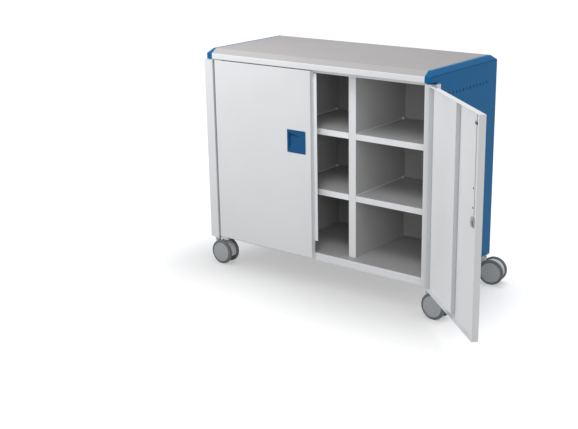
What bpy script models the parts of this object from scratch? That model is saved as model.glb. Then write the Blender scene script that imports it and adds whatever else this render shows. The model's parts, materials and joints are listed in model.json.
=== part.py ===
"""Mobile storage cabinet: folded sheet steel body, two hinged doors and four twin-wheel casters.

All sizes are in metres. While the pieces are made, x = 0 is the middle of the cabinet, y = 0 is the
front plane of the posts and doors with +Y to the back, and z = 0 is the floor. The finished assembly
is then moved so that the middle of its base is the origin. The right door stands open.
"""

import math

import bmesh
import bpy
from mathutils import Vector

# Overall sizes of the cabinet
OVERALL_WIDTH = 1.2192
OVERALL_DEPTH = 0.5325
OVERALL_HEIGHT = 1.0217
CASTER_HEIGHT = 0.1254

# Sheet thicknesses and clearances
PANEL_GAUGE = 0.0015
SHELF_GAUGE = 0.0012
SEAT_GAP = 0.0003
RUNNING_GAP = 0.0001
SMOOTH_ANGLE = 35.0

# Worktop and end panels
BEVEL_HEIGHT = 0.0209
BEVEL_DEPTH = 0.029
HEADER_HEIGHT = 0.0251
HEADER_LIP = 0.024
END_PANEL_THICKNESS = 0.031
END_PANEL_FLAT = 0.014
SEAM_FLANGE = 0.012
END_PANEL_RISE = 0.0066
POST_OVERHANG = 0.0177
VENT_COUNT = 14
VENT_PITCH = 0.0275
VENT_WIDTH = 0.006
VENT_LENGTH = 0.012
VENT_DROP = 0.1067
LINER_FLANGE = 0.014

# Posts and hinge pivots
POST_WIDTH = 0.0483
POST_DEPTH = 0.045
ARM_THICKNESS = 0.003
ARM_CLEARANCE = 0.0012
ARM_REACH = 0.080
ARM_WIDTH = 0.012
PIVOT_SETBACK = 0.008
PIVOT_PIN_RADIUS = 0.003
PIVOT_PIN_LENGTH = 0.014
PIVOT_BLOCK_HEIGHT = 0.022

# Doors
DOOR_THICKNESS = 0.026
DOOR_POST_GAP = 0.013
DOOR_MEETING_GAP = 0.0064
DOOR_RISE = 0.009
DOOR_GAUGE = 0.0012
DOOR_LIP = 0.010
DOOR_OPEN_ANGLE = 139.4
DOOR_RECESS = 0.0175
DOOR_LINER_GAUGE = 0.0008
STIFFENER_WIDTH = 0.072
STIFFENER_OFFSET = 0.240
STIFFENER_END_GAP = 0.0186
ASTRAGAL_REACH = 0.0142
ASTRAGAL_LAP = 0.0095
ASTRAGAL_FOOT = 0.077
ASTRAGAL_HEAD = 0.012

# Pull handles
HANDLE_WIDTH = 0.1005
HANDLE_HEIGHT = 0.1015
HANDLE_INSET = 0.0278
HANDLE_CENTRE_HEIGHT = 0.6552
HANDLE_FLANGE = 0.0015
HANDLE_FLANGE_MARGIN = 0.005
SCOOP_MARGIN = 0.002
SCOOP_RUN = 0.066
SCOOP_FLOOR_HEIGHT = 0.051
SCOOP_MOUTH_HEIGHT = 0.083
SCOOP_DEPTH = 0.007

# Lock on the right door
LOCK_INSET = 0.0702
LOCK_HANDLE_GAP = 0.0185
LOCK_BODY_SIZE = (0.024, 0.0052, 0.036)
LOCK_PLUG_RADIUS = 0.006
LOCK_PLUG_PROUD = 0.003
LOCK_ROSE_RADIUS = 0.010
CAM_THROW = 0.012
CAM_THICKNESS = 0.002
CAM_PIN_RADIUS = 0.002
CAM_REST_ANGLE = 225.0
ROD_INSET = 0.0483
ROD_WIDTH = 0.005
ROD_THICKNESS = 0.0012
ROD_TOP_SINK = 0.0005
FORK_SLOT = 0.0052
FORK_TINE = 0.004
GUIDE_SIZE = (0.020, 0.014)
GUIDE_DROP = 0.032
STRIKE_MARGIN = 0.002

# Inside of the cabinet
FRONT_SETBACK = 0.070
RAIL_SETBACK = 0.027
TOP_RAIL_DEPTH = 0.030
TOP_RAIL_DROP = 0.0147
DECK_HEIGHT = 0.155
DECK_SKIRT = 0.034
BACK_LINER_SETBACK = 0.455
BACK_LINER_FLANGE = 0.014
BACK_PANEL_FLANGE = 0.018
BACK_PANEL_FOOT = 0.127
LEFT_DIVIDER_CENTRE = -0.205
RIGHT_DIVIDER_CENTRE = 0.1655
DIVIDER_WIDTH = 0.037
SHELF_THICKNESS = 0.026
LOWER_SHELF_TOP = 0.438
UPPER_SHELF_TOP = 0.711

# Casters
CASTER_INSET = 0.0245
STEM_RADIUS = 0.0085
STEM_DEPTH = 0.026
STEM_BOSS_RADIUS = 0.0095
STEM_BOSS_GAP = 0.0064
STEM_BOSS_FOOT = 0.060
SOCKET_HEIGHT = 0.040
SOCKET_PLATE = (0.030, 0.056)
SOCKET_TUBE_WALL = 0.003
CASTER_TRAIL = 0.0426
WHEEL_RADIUS = 0.0573
WHEEL_WIDTH = 0.0185
WHEEL_COVER_RADIUS = 0.0457
WHEEL_SHOULDER = 0.005
WHEEL_TREAD_DROP = 0.008
WHEEL_EDGE_ROUND = 0.0017
WHEEL_GROOVE = 0.002
WHEEL_HUB_RADIUS = 0.010
WHEEL_SKIN = 0.004
CASTER_WIDTH = 0.0748
HOOD_RADIUS = 0.050
HOOD_WALL = 0.003
HOOD_FOOT = 0.017
HOOD_SIDE_GAP = 0.001
AXLE_RADIUS = 0.004
AXLE_END_GAP = 0.0003
CASTER_YAWS = {"front_left": 1.0, "front_right": -4.6, "back_left": 6.0, "back_right": 10.0}

ROUND_STEPS = 24
WHEEL_STEPS = 28
VENT_STEPS = 12

# Levels and planes worked out from the sizes above
POST_OUTER = OVERALL_WIDTH / 2
POST_INNER = POST_OUTER - POST_WIDTH
PIVOT_X = POST_OUTER - POST_WIDTH / 2
PANEL_OUTER = POST_OUTER - POST_OVERHANG
PANEL_INNER = PANEL_OUTER - END_PANEL_THICKNESS
CREASE_Z = OVERALL_HEIGHT - BEVEL_HEIGHT
HEADER_Z = CREASE_Z - HEADER_HEIGHT
UNDER_TOP_Z = OVERALL_HEIGHT - PANEL_GAUGE - SEAT_GAP
PANEL_FOOT_Z = CASTER_HEIGHT + END_PANEL_RISE
DOOR_FOOT_Z = CASTER_HEIGHT + DOOR_RISE
ARM_TOP_Z = HEADER_Z - ARM_CLEARANCE
DOOR_TOP_Z = ARM_TOP_Z - ARM_THICKNESS - SEAT_GAP
POST_TOP_Z = DOOR_TOP_Z
DOOR_HINGE_X = POST_INNER - DOOR_POST_GAP
DOOR_FREE_X = DOOR_MEETING_GAP / 2
LINER_FACE_X = PANEL_INNER - SHELF_GAUGE
INNER_X = LINER_FACE_X - SEAT_GAP
FRONT_STEM_Y = CASTER_INSET
BACK_STEM_X = (PANEL_INNER + PANEL_OUTER) / 2
BACK_STEM_Y = OVERALL_DEPTH - CASTER_INSET
SOCKET_TUBE_RADIUS = STEM_RADIUS + SOCKET_TUBE_WALL
DOOR_LINER_FACE = DOOR_THICKNESS - DOOR_RECESS
HANDLE_BACK = DOOR_LINER_FACE - DOOR_LINER_GAUGE - SEAT_GAP
LOCK_FRONT = DOOR_LINER_FACE + SEAT_GAP
ROD_FRONT = LOCK_FRONT + LOCK_BODY_SIZE[1] + SEAT_GAP
LOCK_Z = HANDLE_CENTRE_HEIGHT - HANDLE_HEIGHT / 2 - LOCK_HANDLE_GAP - LOCK_BODY_SIZE[2] / 2

BOX_FACES = {
    "-x": ((0, 0, 0), (0, 0, 1), (0, 1, 1), (0, 1, 0)),
    "+x": ((1, 0, 0), (1, 1, 0), (1, 1, 1), (1, 0, 1)),
    "-y": ((0, 0, 0), (1, 0, 0), (1, 0, 1), (0, 0, 1)),
    "+y": ((0, 1, 0), (0, 1, 1), (1, 1, 1), (1, 1, 0)),
    "-z": ((0, 0, 0), (0, 1, 0), (1, 1, 0), (1, 0, 0)),
    "+z": ((0, 0, 1), (1, 0, 1), (1, 1, 1), (0, 1, 1)),
}


def srgb(red, green, blue):
    """Turn an 8-bit colour into the linear colour that a shader takes."""
    def channel(value):
        share = value / 255
        return share / 12.92 if share <= 0.04045 else ((share + 0.055) / 1.055) ** 2.4
    return channel(red), channel(green), channel(blue), 1.0


FINISHES = {
    "white_paint": (srgb(226, 228, 230), 0.45, 0.0),
    "interior_paint": (srgb(168, 168, 168), 0.55, 0.0),
    "grey_paint": (srgb(182, 180, 181), 0.50, 0.0),
    "blue_paint": (srgb(38, 93, 140), 0.45, 0.0),
    "blue_plastic": (srgb(36, 90, 138), 0.35, 0.0),
    "zinc": (srgb(172, 174, 176), 0.35, 0.9),
    "grey_plastic": (srgb(150, 153, 156), 0.45, 0.0),
    "tyre_grey": (srgb(77, 79, 80), 0.60, 0.0),
}


def clear_scene():
    """Start from an empty scene."""
    for item in list(bpy.data.objects):
        bpy.data.objects.remove(item, do_unlink=True)


def make_material(name, finish):
    """Make one piece's own material from a named finish."""
    colour, roughness, metallic = FINISHES[finish]
    material = bpy.data.materials.new(name)
    material.use_nodes = True
    shader = material.node_tree.nodes["Principled BSDF"]
    shader.inputs["Base Color"].default_value = colour
    shader.inputs["Roughness"].default_value = roughness
    shader.inputs["Metallic"].default_value = metallic
    return material


def add_empty(name, place, parent, turn=0.0):
    """Add an empty that carries a group of pieces on its axis."""
    empty = bpy.data.objects.new(name, None)
    bpy.context.collection.objects.link(empty)
    empty.parent = parent
    empty.location = place
    empty.rotation_euler = (0.0, 0.0, math.radians(turn))
    return empty


def add_piece(name, shape, finish, parent, origin=(0.0, 0.0, 0.0), smooth=False):
    """Make a finished shape a named object whose own origin is the given point."""
    bmesh.ops.translate(shape, vec=-Vector(origin), verts=shape.verts)
    mesh = bpy.data.meshes.new(name)
    shape.to_mesh(mesh)
    shape.free()
    if smooth:
        mesh.shade_smooth()
        mesh.set_sharp_from_angle(angle=math.radians(SMOOTH_ANGLE))
    mesh.materials.append(make_material(name, finish))
    piece = bpy.data.objects.new(name, mesh)
    bpy.context.collection.objects.link(piece)
    piece.parent = parent
    return piece


def fold(piece, gauge, exact=False):
    """Give a folded shell its sheet thickness, inwards from the outer face."""
    modifier = piece.modifiers.new("gauge", "SOLIDIFY")
    modifier.thickness = gauge
    modifier.offset = -1.0
    modifier.use_even_offset = True
    if exact:
        modifier.solidify_mode = "NON_MANIFOLD"
        modifier.nonmanifold_thickness_mode = "CONSTRAINTS"


def combine(piece, name, shape, operation, origin=(0.0, 0.0, 0.0)):
    """Cut a shape from a piece, or join it on."""
    bmesh.ops.translate(shape, vec=-Vector(origin), verts=shape.verts)
    mesh = bpy.data.meshes.new(name)
    shape.to_mesh(mesh)
    shape.free()
    tool = bpy.data.objects.new(name, mesh)
    bpy.context.collection.objects.link(tool)
    tool.parent = piece.parent
    tool.hide_render = True
    tool.display_type = "WIRE"
    modifier = piece.modifiers.new(name, "BOOLEAN")
    modifier.operation = operation
    modifier.object = tool


def shell_box(low, high, open_sides=()):
    """Make a box of single faces, without the sides named as open."""
    shape = bmesh.new()
    ends = (low, high)
    corners = {}
    for key in {corner for face in BOX_FACES.values() for corner in face}:
        corners[key] = shape.verts.new([ends[key[i]][i] for i in range(3)])
    for side, face in BOX_FACES.items():
        if side not in open_sides:
            shape.faces.new([corners[key] for key in face])
    loose = [vert for vert in shape.verts if not vert.link_faces]
    bmesh.ops.delete(shape, geom=loose, context="VERTS")
    return shape


def prism(outline, axis, start, end):
    """Extrude a closed outline along x, y or z; the outline lists the other two coordinates in order."""
    shape = bmesh.new()
    along = "xyz".index(axis)

    def place(point, level):
        values = list(point)
        values.insert(along, level)
        return values

    lower = [shape.verts.new(place(point, start)) for point in outline]
    upper = [shape.verts.new(place(point, end)) for point in outline]
    shape.faces.new(lower)
    shape.faces.new(upper)
    for i, vert in enumerate(lower):
        j = (i + 1) % len(lower)
        shape.faces.new((vert, lower[j], upper[j], upper[i]))
    bmesh.ops.recalc_face_normals(shape, faces=shape.faces)
    return shape


def circle(centre, radius, steps=ROUND_STEPS, start=0.0, sweep=360.0):
    """List the points of a circle, or of an arc that includes both ends."""
    count = steps if sweep == 360.0 else steps + 1
    angles = [math.radians(start + sweep * i / steps) for i in range(count)]
    return [(centre[0] + radius * math.cos(a), centre[1] + radius * math.sin(a)) for a in angles]


def box_outline(low, high):
    """List the corners of a rectangle."""
    return [(low[0], low[1]), (high[0], low[1]), (high[0], high[1]), (low[0], high[1])]


def merged(shapes):
    """Gather several separate shapes, such as a row of cutters, into one."""
    whole = bmesh.new()
    for shape in shapes:
        mesh = bpy.data.meshes.new("gathered")
        shape.to_mesh(mesh)
        shape.free()
        whole.from_mesh(mesh)
        bpy.data.meshes.remove(mesh)
    return whole


def revolve(profile, steps):
    """Turn a profile of (radius, y) points about the y axis into a closed body."""
    shape = bmesh.new()
    verts = [shape.verts.new((radius, y, 0.0)) for radius, y in profile]
    edges = [shape.edges.new(pair) for pair in zip(verts, verts[1:])]
    bmesh.ops.spin(shape, geom=verts + edges, cent=(0, 0, 0), axis=(0, 1, 0),
                   angle=math.tau, steps=steps, use_merge=True)
    bmesh.ops.remove_doubles(shape, verts=shape.verts, dist=1e-6)
    bmesh.ops.recalc_face_normals(shape, faces=shape.faces)
    return shape


def handed(shape, side):
    """Turn a right-hand shape into the left-hand one where side is -1."""
    if side < 0:
        bmesh.ops.scale(shape, vec=(-1, 1, 1), verts=shape.verts)
        bmesh.ops.reverse_faces(shape, faces=shape.faces)
    return shape


def build_worktop(root):
    """Fold the worktop: header, bevel, flat top, bevel and back edge, with a lip under the header."""
    back = OVERALL_DEPTH
    profile = [(HEADER_LIP, HEADER_Z), (0.0, HEADER_Z), (0.0, CREASE_Z), (BEVEL_DEPTH, OVERALL_HEIGHT),
               (back - BEVEL_DEPTH, OVERALL_HEIGHT), (back, CREASE_Z), (back, HEADER_Z)]
    half = PANEL_INNER - SEAT_GAP
    shape = bmesh.new()
    left = [shape.verts.new((-half, y, z)) for y, z in profile]
    right = [shape.verts.new((half, y, z)) for y, z in profile]
    for i in range(len(profile) - 1):
        shape.faces.new((left[i], right[i], right[i + 1], left[i + 1]))
    worktop = add_piece("worktop", shape, "grey_paint", root)
    fold(worktop, PANEL_GAUGE, exact=True)
    x = DOOR_FREE_X + ROD_INSET
    y = ROD_FRONT + ROD_THICKNESS / 2
    reach = (ROD_WIDTH / 2 + STRIKE_MARGIN, ROD_THICKNESS / 2 + STRIKE_MARGIN)
    strike = prism(box_outline((x - reach[0], y - reach[1]), (x + reach[0], y + reach[1])), "z",
                   HEADER_Z - PANEL_GAUGE, HEADER_Z + 2 * PANEL_GAUGE)
    combine(worktop, "strike_slot", strike, "DIFFERENCE")


def build_end_panel(name, side, root):
    """Fold an end panel: an upright pan with mitred bevels on top and a notch for the front post."""
    inner, outer = PANEL_INNER, PANEL_OUTER
    ridge = inner + END_PANEL_FLAT
    back, notch = OVERALL_DEPTH, POST_DEPTH + SEAT_GAP
    points = {
        "front_low": (outer, 0.0, HEADER_Z), "front_crease": (outer, 0.0, CREASE_Z),
        "back_crease": (outer, back, CREASE_Z), "back_foot": (outer, back, PANEL_FOOT_Z),
        "notch_foot": (outer, notch, PANEL_FOOT_Z), "notch_head": (outer, notch, HEADER_Z),
        "in_front_low": (inner, 0.0, HEADER_Z), "in_front_crease": (inner, 0.0, CREASE_Z),
        "front_ridge": (ridge, BEVEL_DEPTH, OVERALL_HEIGHT),
        "back_ridge": (ridge, back - BEVEL_DEPTH, OVERALL_HEIGHT),
        "in_front_top": (inner, BEVEL_DEPTH, OVERALL_HEIGHT),
        "in_back_top": (inner, back - BEVEL_DEPTH, OVERALL_HEIGHT),
        "in_front_drop": (inner, BEVEL_DEPTH, OVERALL_HEIGHT - SEAM_FLANGE),
        "in_back_drop": (inner, back - BEVEL_DEPTH, OVERALL_HEIGHT - SEAM_FLANGE),
        "in_back_crease": (inner, back, CREASE_Z), "in_back_foot": (inner, back, PANEL_FOOT_Z),
        "in_notch_foot": (inner, notch, PANEL_FOOT_Z), "in_notch_head": (inner, notch, HEADER_Z),
    }
    faces = [
        ("front_low", "notch_head", "notch_foot", "back_foot", "back_crease", "front_crease"),
        ("front_crease", "back_crease", "back_ridge", "front_ridge"),
        ("front_ridge", "back_ridge", "in_back_top", "in_front_top"),
        ("in_front_top", "in_back_top", "in_back_drop", "in_front_drop"),
        ("front_crease", "front_ridge", "in_front_top", "in_front_crease"),
        ("back_crease", "in_back_crease", "in_back_top", "back_ridge"),
        ("in_front_low", "front_low", "front_crease", "in_front_crease"),
        ("back_foot", "in_back_foot", "in_back_crease", "back_crease"),
        ("notch_foot", "in_notch_foot", "in_back_foot", "back_foot"),
        ("notch_head", "in_notch_head", "in_notch_foot", "notch_foot"),
        ("front_low", "in_front_low", "in_notch_head", "notch_head"),
    ]
    shape = bmesh.new()
    verts = {key: shape.verts.new(point) for key, point in points.items()}
    for face in faces:
        shape.faces.new([verts[key] for key in face])
    panel = add_piece(name, handed(shape, side), "blue_paint", root)
    fold(panel, PANEL_GAUGE, exact=True)
    first = back / 2 - VENT_PITCH * (VENT_COUNT - 1) / 2
    half_run = (VENT_LENGTH - VENT_WIDTH) / 2
    vents = []
    for i in range(VENT_COUNT):
        y = first + VENT_PITCH * i
        z = OVERALL_HEIGHT - VENT_DROP
        outline = circle((y, z + half_run), VENT_WIDTH / 2, VENT_STEPS // 2, 0.0, 180.0)
        outline += circle((y, z - half_run), VENT_WIDTH / 2, VENT_STEPS // 2, 180.0, 180.0)
        vents.append(prism(outline, "x", outer - 2 * PANEL_GAUGE, outer + PANEL_GAUGE))
    combine(panel, name + "_vents", handed(merged(vents), side), "DIFFERENCE")
    stem_hole = circle((BACK_STEM_X, BACK_STEM_Y), SOCKET_TUBE_RADIUS + SEAT_GAP)
    hole = prism(stem_hole, "z", PANEL_FOOT_Z - PANEL_GAUGE, PANEL_FOOT_Z + 2 * PANEL_GAUGE)
    combine(panel, name + "_socket_hole", handed(hole, side), "DIFFERENCE")


def build_side_liner(name, side, root):
    """Fold the inner side wall, which closes the end panel's hollow and carries the shelves."""
    edge = PANEL_GAUGE + 2 * SEAT_GAP
    low = (LINER_FACE_X, POST_DEPTH + edge, PANEL_FOOT_Z + edge)
    high = (PANEL_INNER + LINER_FLANGE, OVERALL_DEPTH - edge, CREASE_Z - edge)
    shape = shell_box(low, high, ("+x", "-z"))
    fold(add_piece(name, handed(shape, side), "interior_paint", root), SHELF_GAUGE)


def build_front_post(name, side, root):
    """Make a front post, a square tube that is open at both ends."""
    shape = shell_box((POST_INNER, 0.0, CASTER_HEIGHT), (POST_OUTER, POST_DEPTH, POST_TOP_Z), ("-z", "+z"))
    fold(add_piece(name, handed(shape, side), "white_paint", root), PANEL_GAUGE)


def post_plug(foot, head):
    """Make a block that fills the inside of a front post between two levels."""
    edge = PANEL_GAUGE + SEAT_GAP
    return shell_box((POST_INNER + edge, edge, foot), (POST_OUTER - edge, POST_DEPTH - edge, head))


def pivot_hole(low, high):
    """Make the cutter for a hinge pin's hole."""
    outline = circle((PIVOT_X, PIVOT_SETBACK), PIVOT_PIN_RADIUS + RUNNING_GAP)
    return prism(outline, "z", low, high)


def build_upper_pivot_block(name, side, root):
    """Make the plug in a post's upper end that carries the door's upper pin."""
    top = POST_TOP_Z - SEAT_GAP
    block = add_piece(name, handed(post_plug(top - PIVOT_BLOCK_HEIGHT, top), side), "zinc", root)
    hole = pivot_hole(ARM_TOP_Z - ARM_THICKNESS - PIVOT_PIN_LENGTH - SEAT_GAP, top + SEAT_GAP)
    combine(block, name + "_hole", handed(hole, side), "DIFFERENCE")


def build_front_socket(name, side, root):
    """Make the plug in a post's foot that takes a caster stem and the door's lower pin."""
    foot = CASTER_HEIGHT
    socket = add_piece(name, handed(post_plug(foot, foot + SOCKET_HEIGHT), side), "zinc", root)
    stem = prism(circle((PIVOT_X, FRONT_STEM_Y), STEM_RADIUS + RUNNING_GAP), "z",
                 foot - SEAT_GAP, foot + STEM_DEPTH + SEAT_GAP)
    pin = pivot_hole(foot - SEAT_GAP, foot - ARM_CLEARANCE + PIVOT_PIN_LENGTH + SEAT_GAP)
    combine(socket, name + "_holes", handed(merged([stem, pin]), side), "DIFFERENCE")


def build_back_socket(name, side, root):
    """Make a back caster's socket: a plate under the end panel with a tube up into its hollow."""
    x, y = BACK_STEM_X, BACK_STEM_Y
    foot, seat = CASTER_HEIGHT, PANEL_FOOT_Z - SEAT_GAP
    width, length = SOCKET_PLATE
    y_end = OVERALL_DEPTH - SEAT_GAP
    plate = shell_box((x - width / 2, y_end - length, foot), (x + width / 2, y_end, seat))
    socket = add_piece(name, handed(plate, side), "zinc", root)
    tube = prism(circle((x, y), SOCKET_TUBE_RADIUS), "z", (foot + seat) / 2, foot + SOCKET_HEIGHT)
    combine(socket, name + "_tube", handed(tube, side), "UNION")
    stem = prism(circle((x, y), STEM_RADIUS + RUNNING_GAP), "z",
                 foot - SEAT_GAP, foot + STEM_DEPTH + SEAT_GAP)
    combine(socket, name + "_stem_hole", handed(stem, side), "DIFFERENCE")


def build_top_rail(root):
    """Fold the rail under the worktop that the doors close against."""
    low = (-INNER_X, RAIL_SETBACK, HEADER_Z - TOP_RAIL_DROP)
    high = (INNER_X, RAIL_SETBACK + TOP_RAIL_DEPTH, CREASE_Z)
    fold(add_piece("top_rail", shell_box(low, high, ("-x", "+x", "+y")), "white_paint", root), PANEL_GAUGE)


def build_deck(root):
    """Fold the deck, whose front skirt is the rail under the doors."""
    low = (-INNER_X, RAIL_SETBACK, DECK_HEIGHT - DECK_SKIRT)
    high = (INNER_X, OVERALL_DEPTH - BACK_PANEL_FLANGE - SEAT_GAP, DECK_HEIGHT)
    fold(add_piece("deck_pan", shell_box(low, high, ("-z",)), "white_paint", root), PANEL_GAUGE)


def build_backs(root):
    """Fold the liner behind the shelves and the back panel that closes the cabinet."""
    low = (-INNER_X, BACK_LINER_SETBACK, DECK_HEIGHT + SEAT_GAP)
    high = (INNER_X, BACK_LINER_SETBACK + BACK_LINER_FLANGE, UNDER_TOP_Z)
    fold(add_piece("back_liner", shell_box(low, high, ("+y",)), "interior_paint", root), SHELF_GAUGE)
    low = (-INNER_X, OVERALL_DEPTH - BACK_PANEL_FLANGE, BACK_PANEL_FOOT)
    high = (INNER_X, OVERALL_DEPTH, HEADER_Z - SEAT_GAP)
    fold(add_piece("back_panel", shell_box(low, high, ("-y",)), "white_paint", root), SHELF_GAUGE)


def build_divider(name, centre, root):
    """Fold an upright divider: two skins and a front edge, open to the back."""
    low = (centre - DIVIDER_WIDTH / 2, FRONT_SETBACK, DECK_HEIGHT + SEAT_GAP)
    high = (centre + DIVIDER_WIDTH / 2, BACK_LINER_SETBACK - SEAT_GAP, UNDER_TOP_Z)
    fold(add_piece(name, shell_box(low, high, ("+y", "-z", "+z")), "white_paint", root), SHELF_GAUGE)


def build_shelves(root):
    """Fold the six shelves, each a shallow tray turned down at its edges."""
    reach = DIVIDER_WIDTH / 2 + SEAT_GAP
    columns = {"left": (-INNER_X, LEFT_DIVIDER_CENTRE - reach),
               "middle": (LEFT_DIVIDER_CENTRE + reach, RIGHT_DIVIDER_CENTRE - reach),
               "right": (RIGHT_DIVIDER_CENTRE + reach, INNER_X)}
    for column, (x_low, x_high) in columns.items():
        for level, top in (("lower", LOWER_SHELF_TOP), ("upper", UPPER_SHELF_TOP)):
            low = (x_low, FRONT_SETBACK, top - SHELF_THICKNESS)
            high = (x_high, BACK_LINER_SETBACK - SEAT_GAP, top)
            piece = add_piece(f"{column}_{level}_shelf", shell_box(low, high, ("-z",)), "white_paint", root)
            fold(piece, SHELF_GAUGE)


def build_door_pan(name, side, swing, pivot):
    """Fold a door: skin and four edge flanges, with a lip on the free edge."""
    low = (DOOR_FREE_X, 0.0, DOOR_FOOT_Z)
    high = (DOOR_HINGE_X, DOOR_THICKNESS, DOOR_TOP_Z)
    shape = shell_box(low, high, ("+y",))
    shape.verts.ensure_lookup_table()
    edge = [vert for vert in shape.verts if vert.co.x < DOOR_FREE_X + SEAT_GAP and vert.co.y > SEAT_GAP]
    edge.sort(key=lambda vert: vert.co.z)
    ends = [shape.verts.new((DOOR_FREE_X + DOOR_LIP, DOOR_THICKNESS, z))
            for z in (DOOR_FOOT_Z + DOOR_LIP, DOOR_TOP_Z - DOOR_LIP)]
    shape.faces.new((edge[0], edge[1], ends[1], ends[0]))
    pan = add_piece(name, handed(shape, side), "white_paint", swing, pivot)
    fold(pan, DOOR_GAUGE)
    margin = HANDLE_FLANGE_MARGIN - SEAT_GAP
    low, high = handle_corners(margin)
    skin_cut = (-DOOR_GAUGE, 2 * DOOR_GAUGE)
    cuts = [prism(box_outline(low, high), "y", *skin_cut)]
    if side > 0:
        cuts.append(prism(circle(lock_centre(), LOCK_PLUG_RADIUS + SEAT_GAP), "y", *skin_cut))
        x, y = DOOR_FREE_X + ROD_INSET, ROD_FRONT
        slot = box_outline((x - ROD_WIDTH / 2 - SEAT_GAP, y - SEAT_GAP),
                           (x + ROD_WIDTH / 2 + SEAT_GAP, y + ROD_THICKNESS + SEAT_GAP))
        cuts.append(prism(slot, "z", DOOR_TOP_Z - 2 * DOOR_GAUGE, DOOR_TOP_Z + DOOR_GAUGE))
    combine(pan, name + "_cuts", handed(merged(cuts), side), "DIFFERENCE", pivot)


def build_door_liner(name, side, swing, pivot):
    """Make the inner skin that closes a door behind its handle."""
    edge = DOOR_GAUGE + SEAT_GAP
    low = (DOOR_FREE_X + edge, DOOR_LINER_FACE - DOOR_LINER_GAUGE, DOOR_FOOT_Z + edge)
    high = (DOOR_HINGE_X - edge, DOOR_LINER_FACE, DOOR_TOP_Z - edge)
    liner = add_piece(name, handed(shell_box(low, high), side), "white_paint", swing, pivot)
    if side > 0:
        hole = prism(circle(lock_centre(), LOCK_PLUG_RADIUS + SEAT_GAP), "y", low[1] - edge, high[1] + edge)
        combine(liner, name + "_lock_hole", hole, "DIFFERENCE", pivot)


def build_stiffener(name, side, swing, pivot):
    """Fold the hat channel that stiffens a door's inner skin."""
    x = DOOR_HINGE_X - STIFFENER_OFFSET - STIFFENER_WIDTH
    low = (x, DOOR_LINER_FACE + SEAT_GAP, DOOR_FOOT_Z + STIFFENER_END_GAP)
    high = (x + STIFFENER_WIDTH, DOOR_THICKNESS - SEAT_GAP, DOOR_TOP_Z - DOOR_GAUGE - SEAT_GAP)
    shape = shell_box(low, high, ("-y", "-z", "+z"))
    fold(add_piece(name, handed(shape, side), "white_paint", swing, pivot), DOOR_GAUGE)


def handle_corners(margin):
    """Give the handle's corners on the door's face, drawn in by a margin."""
    x = DOOR_FREE_X + HANDLE_INSET
    low = (x + margin, HANDLE_CENTRE_HEIGHT - HANDLE_HEIGHT / 2 + margin)
    high = (x + HANDLE_WIDTH - margin, HANDLE_CENTRE_HEIGHT + HANDLE_HEIGHT / 2 - margin)
    return low, high


def build_handle(name, side, swing, pivot):
    """Mould a pull handle whose scoop runs in from the free side to its deep end."""
    face = -HANDLE_FLANGE - SEAT_GAP
    flange = prism(box_outline(*handle_corners(0.0)), "y", face, -SEAT_GAP)
    handle = add_piece(name, handed(flange, side), "blue_plastic", swing, pivot)
    cup = prism(box_outline(*handle_corners(HANDLE_FLANGE_MARGIN)), "y", face / 2, HANDLE_BACK)
    combine(handle, name + "_cup", handed(cup, side), "UNION", pivot)
    deep = DOOR_FREE_X + HANDLE_INSET + HANDLE_WIDTH - HANDLE_FLANGE_MARGIN - SCOOP_MARGIN
    run_out = deep - SCOOP_RUN
    slope = SCOOP_DEPTH / SCOOP_RUN
    proud = HANDLE_FLANGE
    spread = (SCOOP_MOUTH_HEIGHT - SCOOP_FLOOR_HEIGHT) / 2 / SCOOP_DEPTH
    half = SCOOP_FLOOR_HEIGHT / 2
    scoop = bmesh.new()
    z = HANDLE_CENTRE_HEIGHT
    tip_x = run_out - proud / slope
    tips = [scoop.verts.new((tip_x, face - proud, z + sign * half)) for sign in (-1, 1)]
    floor = [scoop.verts.new((deep, face + SCOOP_DEPTH, z + sign * half)) for sign in (-1, 1)]
    mouth_half = half + spread * (SCOOP_DEPTH + proud)
    mouth = [scoop.verts.new((deep, face - proud, z + sign * mouth_half)) for sign in (-1, 1)]
    for ring in ((tips[0], tips[1], floor[1], floor[0]), (tips[0], mouth[0], mouth[1], tips[1]),
                 (floor[0], floor[1], mouth[1], mouth[0]), (tips[0], floor[0], mouth[0]),
                 (tips[1], mouth[1], floor[1])):
        scoop.faces.new(ring)
    bmesh.ops.recalc_face_normals(scoop, faces=scoop.faces)
    combine(handle, name + "_scoop", handed(scoop, side), "DIFFERENCE", pivot)


def arm_outline():
    """Outline a hinge arm from above: round about the pin and square on the door."""
    centre = (PIVOT_X, PIVOT_SETBACK)
    radius = ARM_WIDTH / 2
    end = PIVOT_X - ARM_REACH
    return circle(centre, radius, ROUND_STEPS // 2, -90.0, 180.0) + [(end, centre[1] + radius),
                                                                    (end, centre[1] - radius)]


def build_hinge_arm(name, side, swing, pivot, upper):
    """Make a hinge arm and its pin; the lower arm has a pad up to the door's foot."""
    pin_outline = circle((PIVOT_X, PIVOT_SETBACK), PIVOT_PIN_RADIUS)
    if upper:
        foot = ARM_TOP_Z - ARM_THICKNESS
        pin = prism(pin_outline, "z", foot - PIVOT_PIN_LENGTH, foot + ARM_THICKNESS / 2)
        added = [pin]
    else:
        foot = CASTER_HEIGHT - ARM_CLEARANCE - ARM_THICKNESS
        pin = prism(pin_outline, "z", foot + ARM_THICKNESS / 2, foot + ARM_THICKNESS + PIVOT_PIN_LENGTH)
        pad_low = (PIVOT_X - ARM_REACH, PIVOT_SETBACK - ARM_WIDTH / 2, foot + ARM_THICKNESS / 2)
        pad_high = (DOOR_HINGE_X - SEAT_GAP, PIVOT_SETBACK + ARM_WIDTH / 2, DOOR_FOOT_Z - SEAT_GAP)
        added = [pin, shell_box(pad_low, pad_high)]
    plate = prism(arm_outline(), "z", foot, foot + ARM_THICKNESS)
    arm = add_piece(name, handed(plate, side), "zinc", swing, pivot)
    for i, shape in enumerate(added):
        combine(arm, f"{name}_join_{i}", handed(shape, side), "UNION", pivot)


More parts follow.
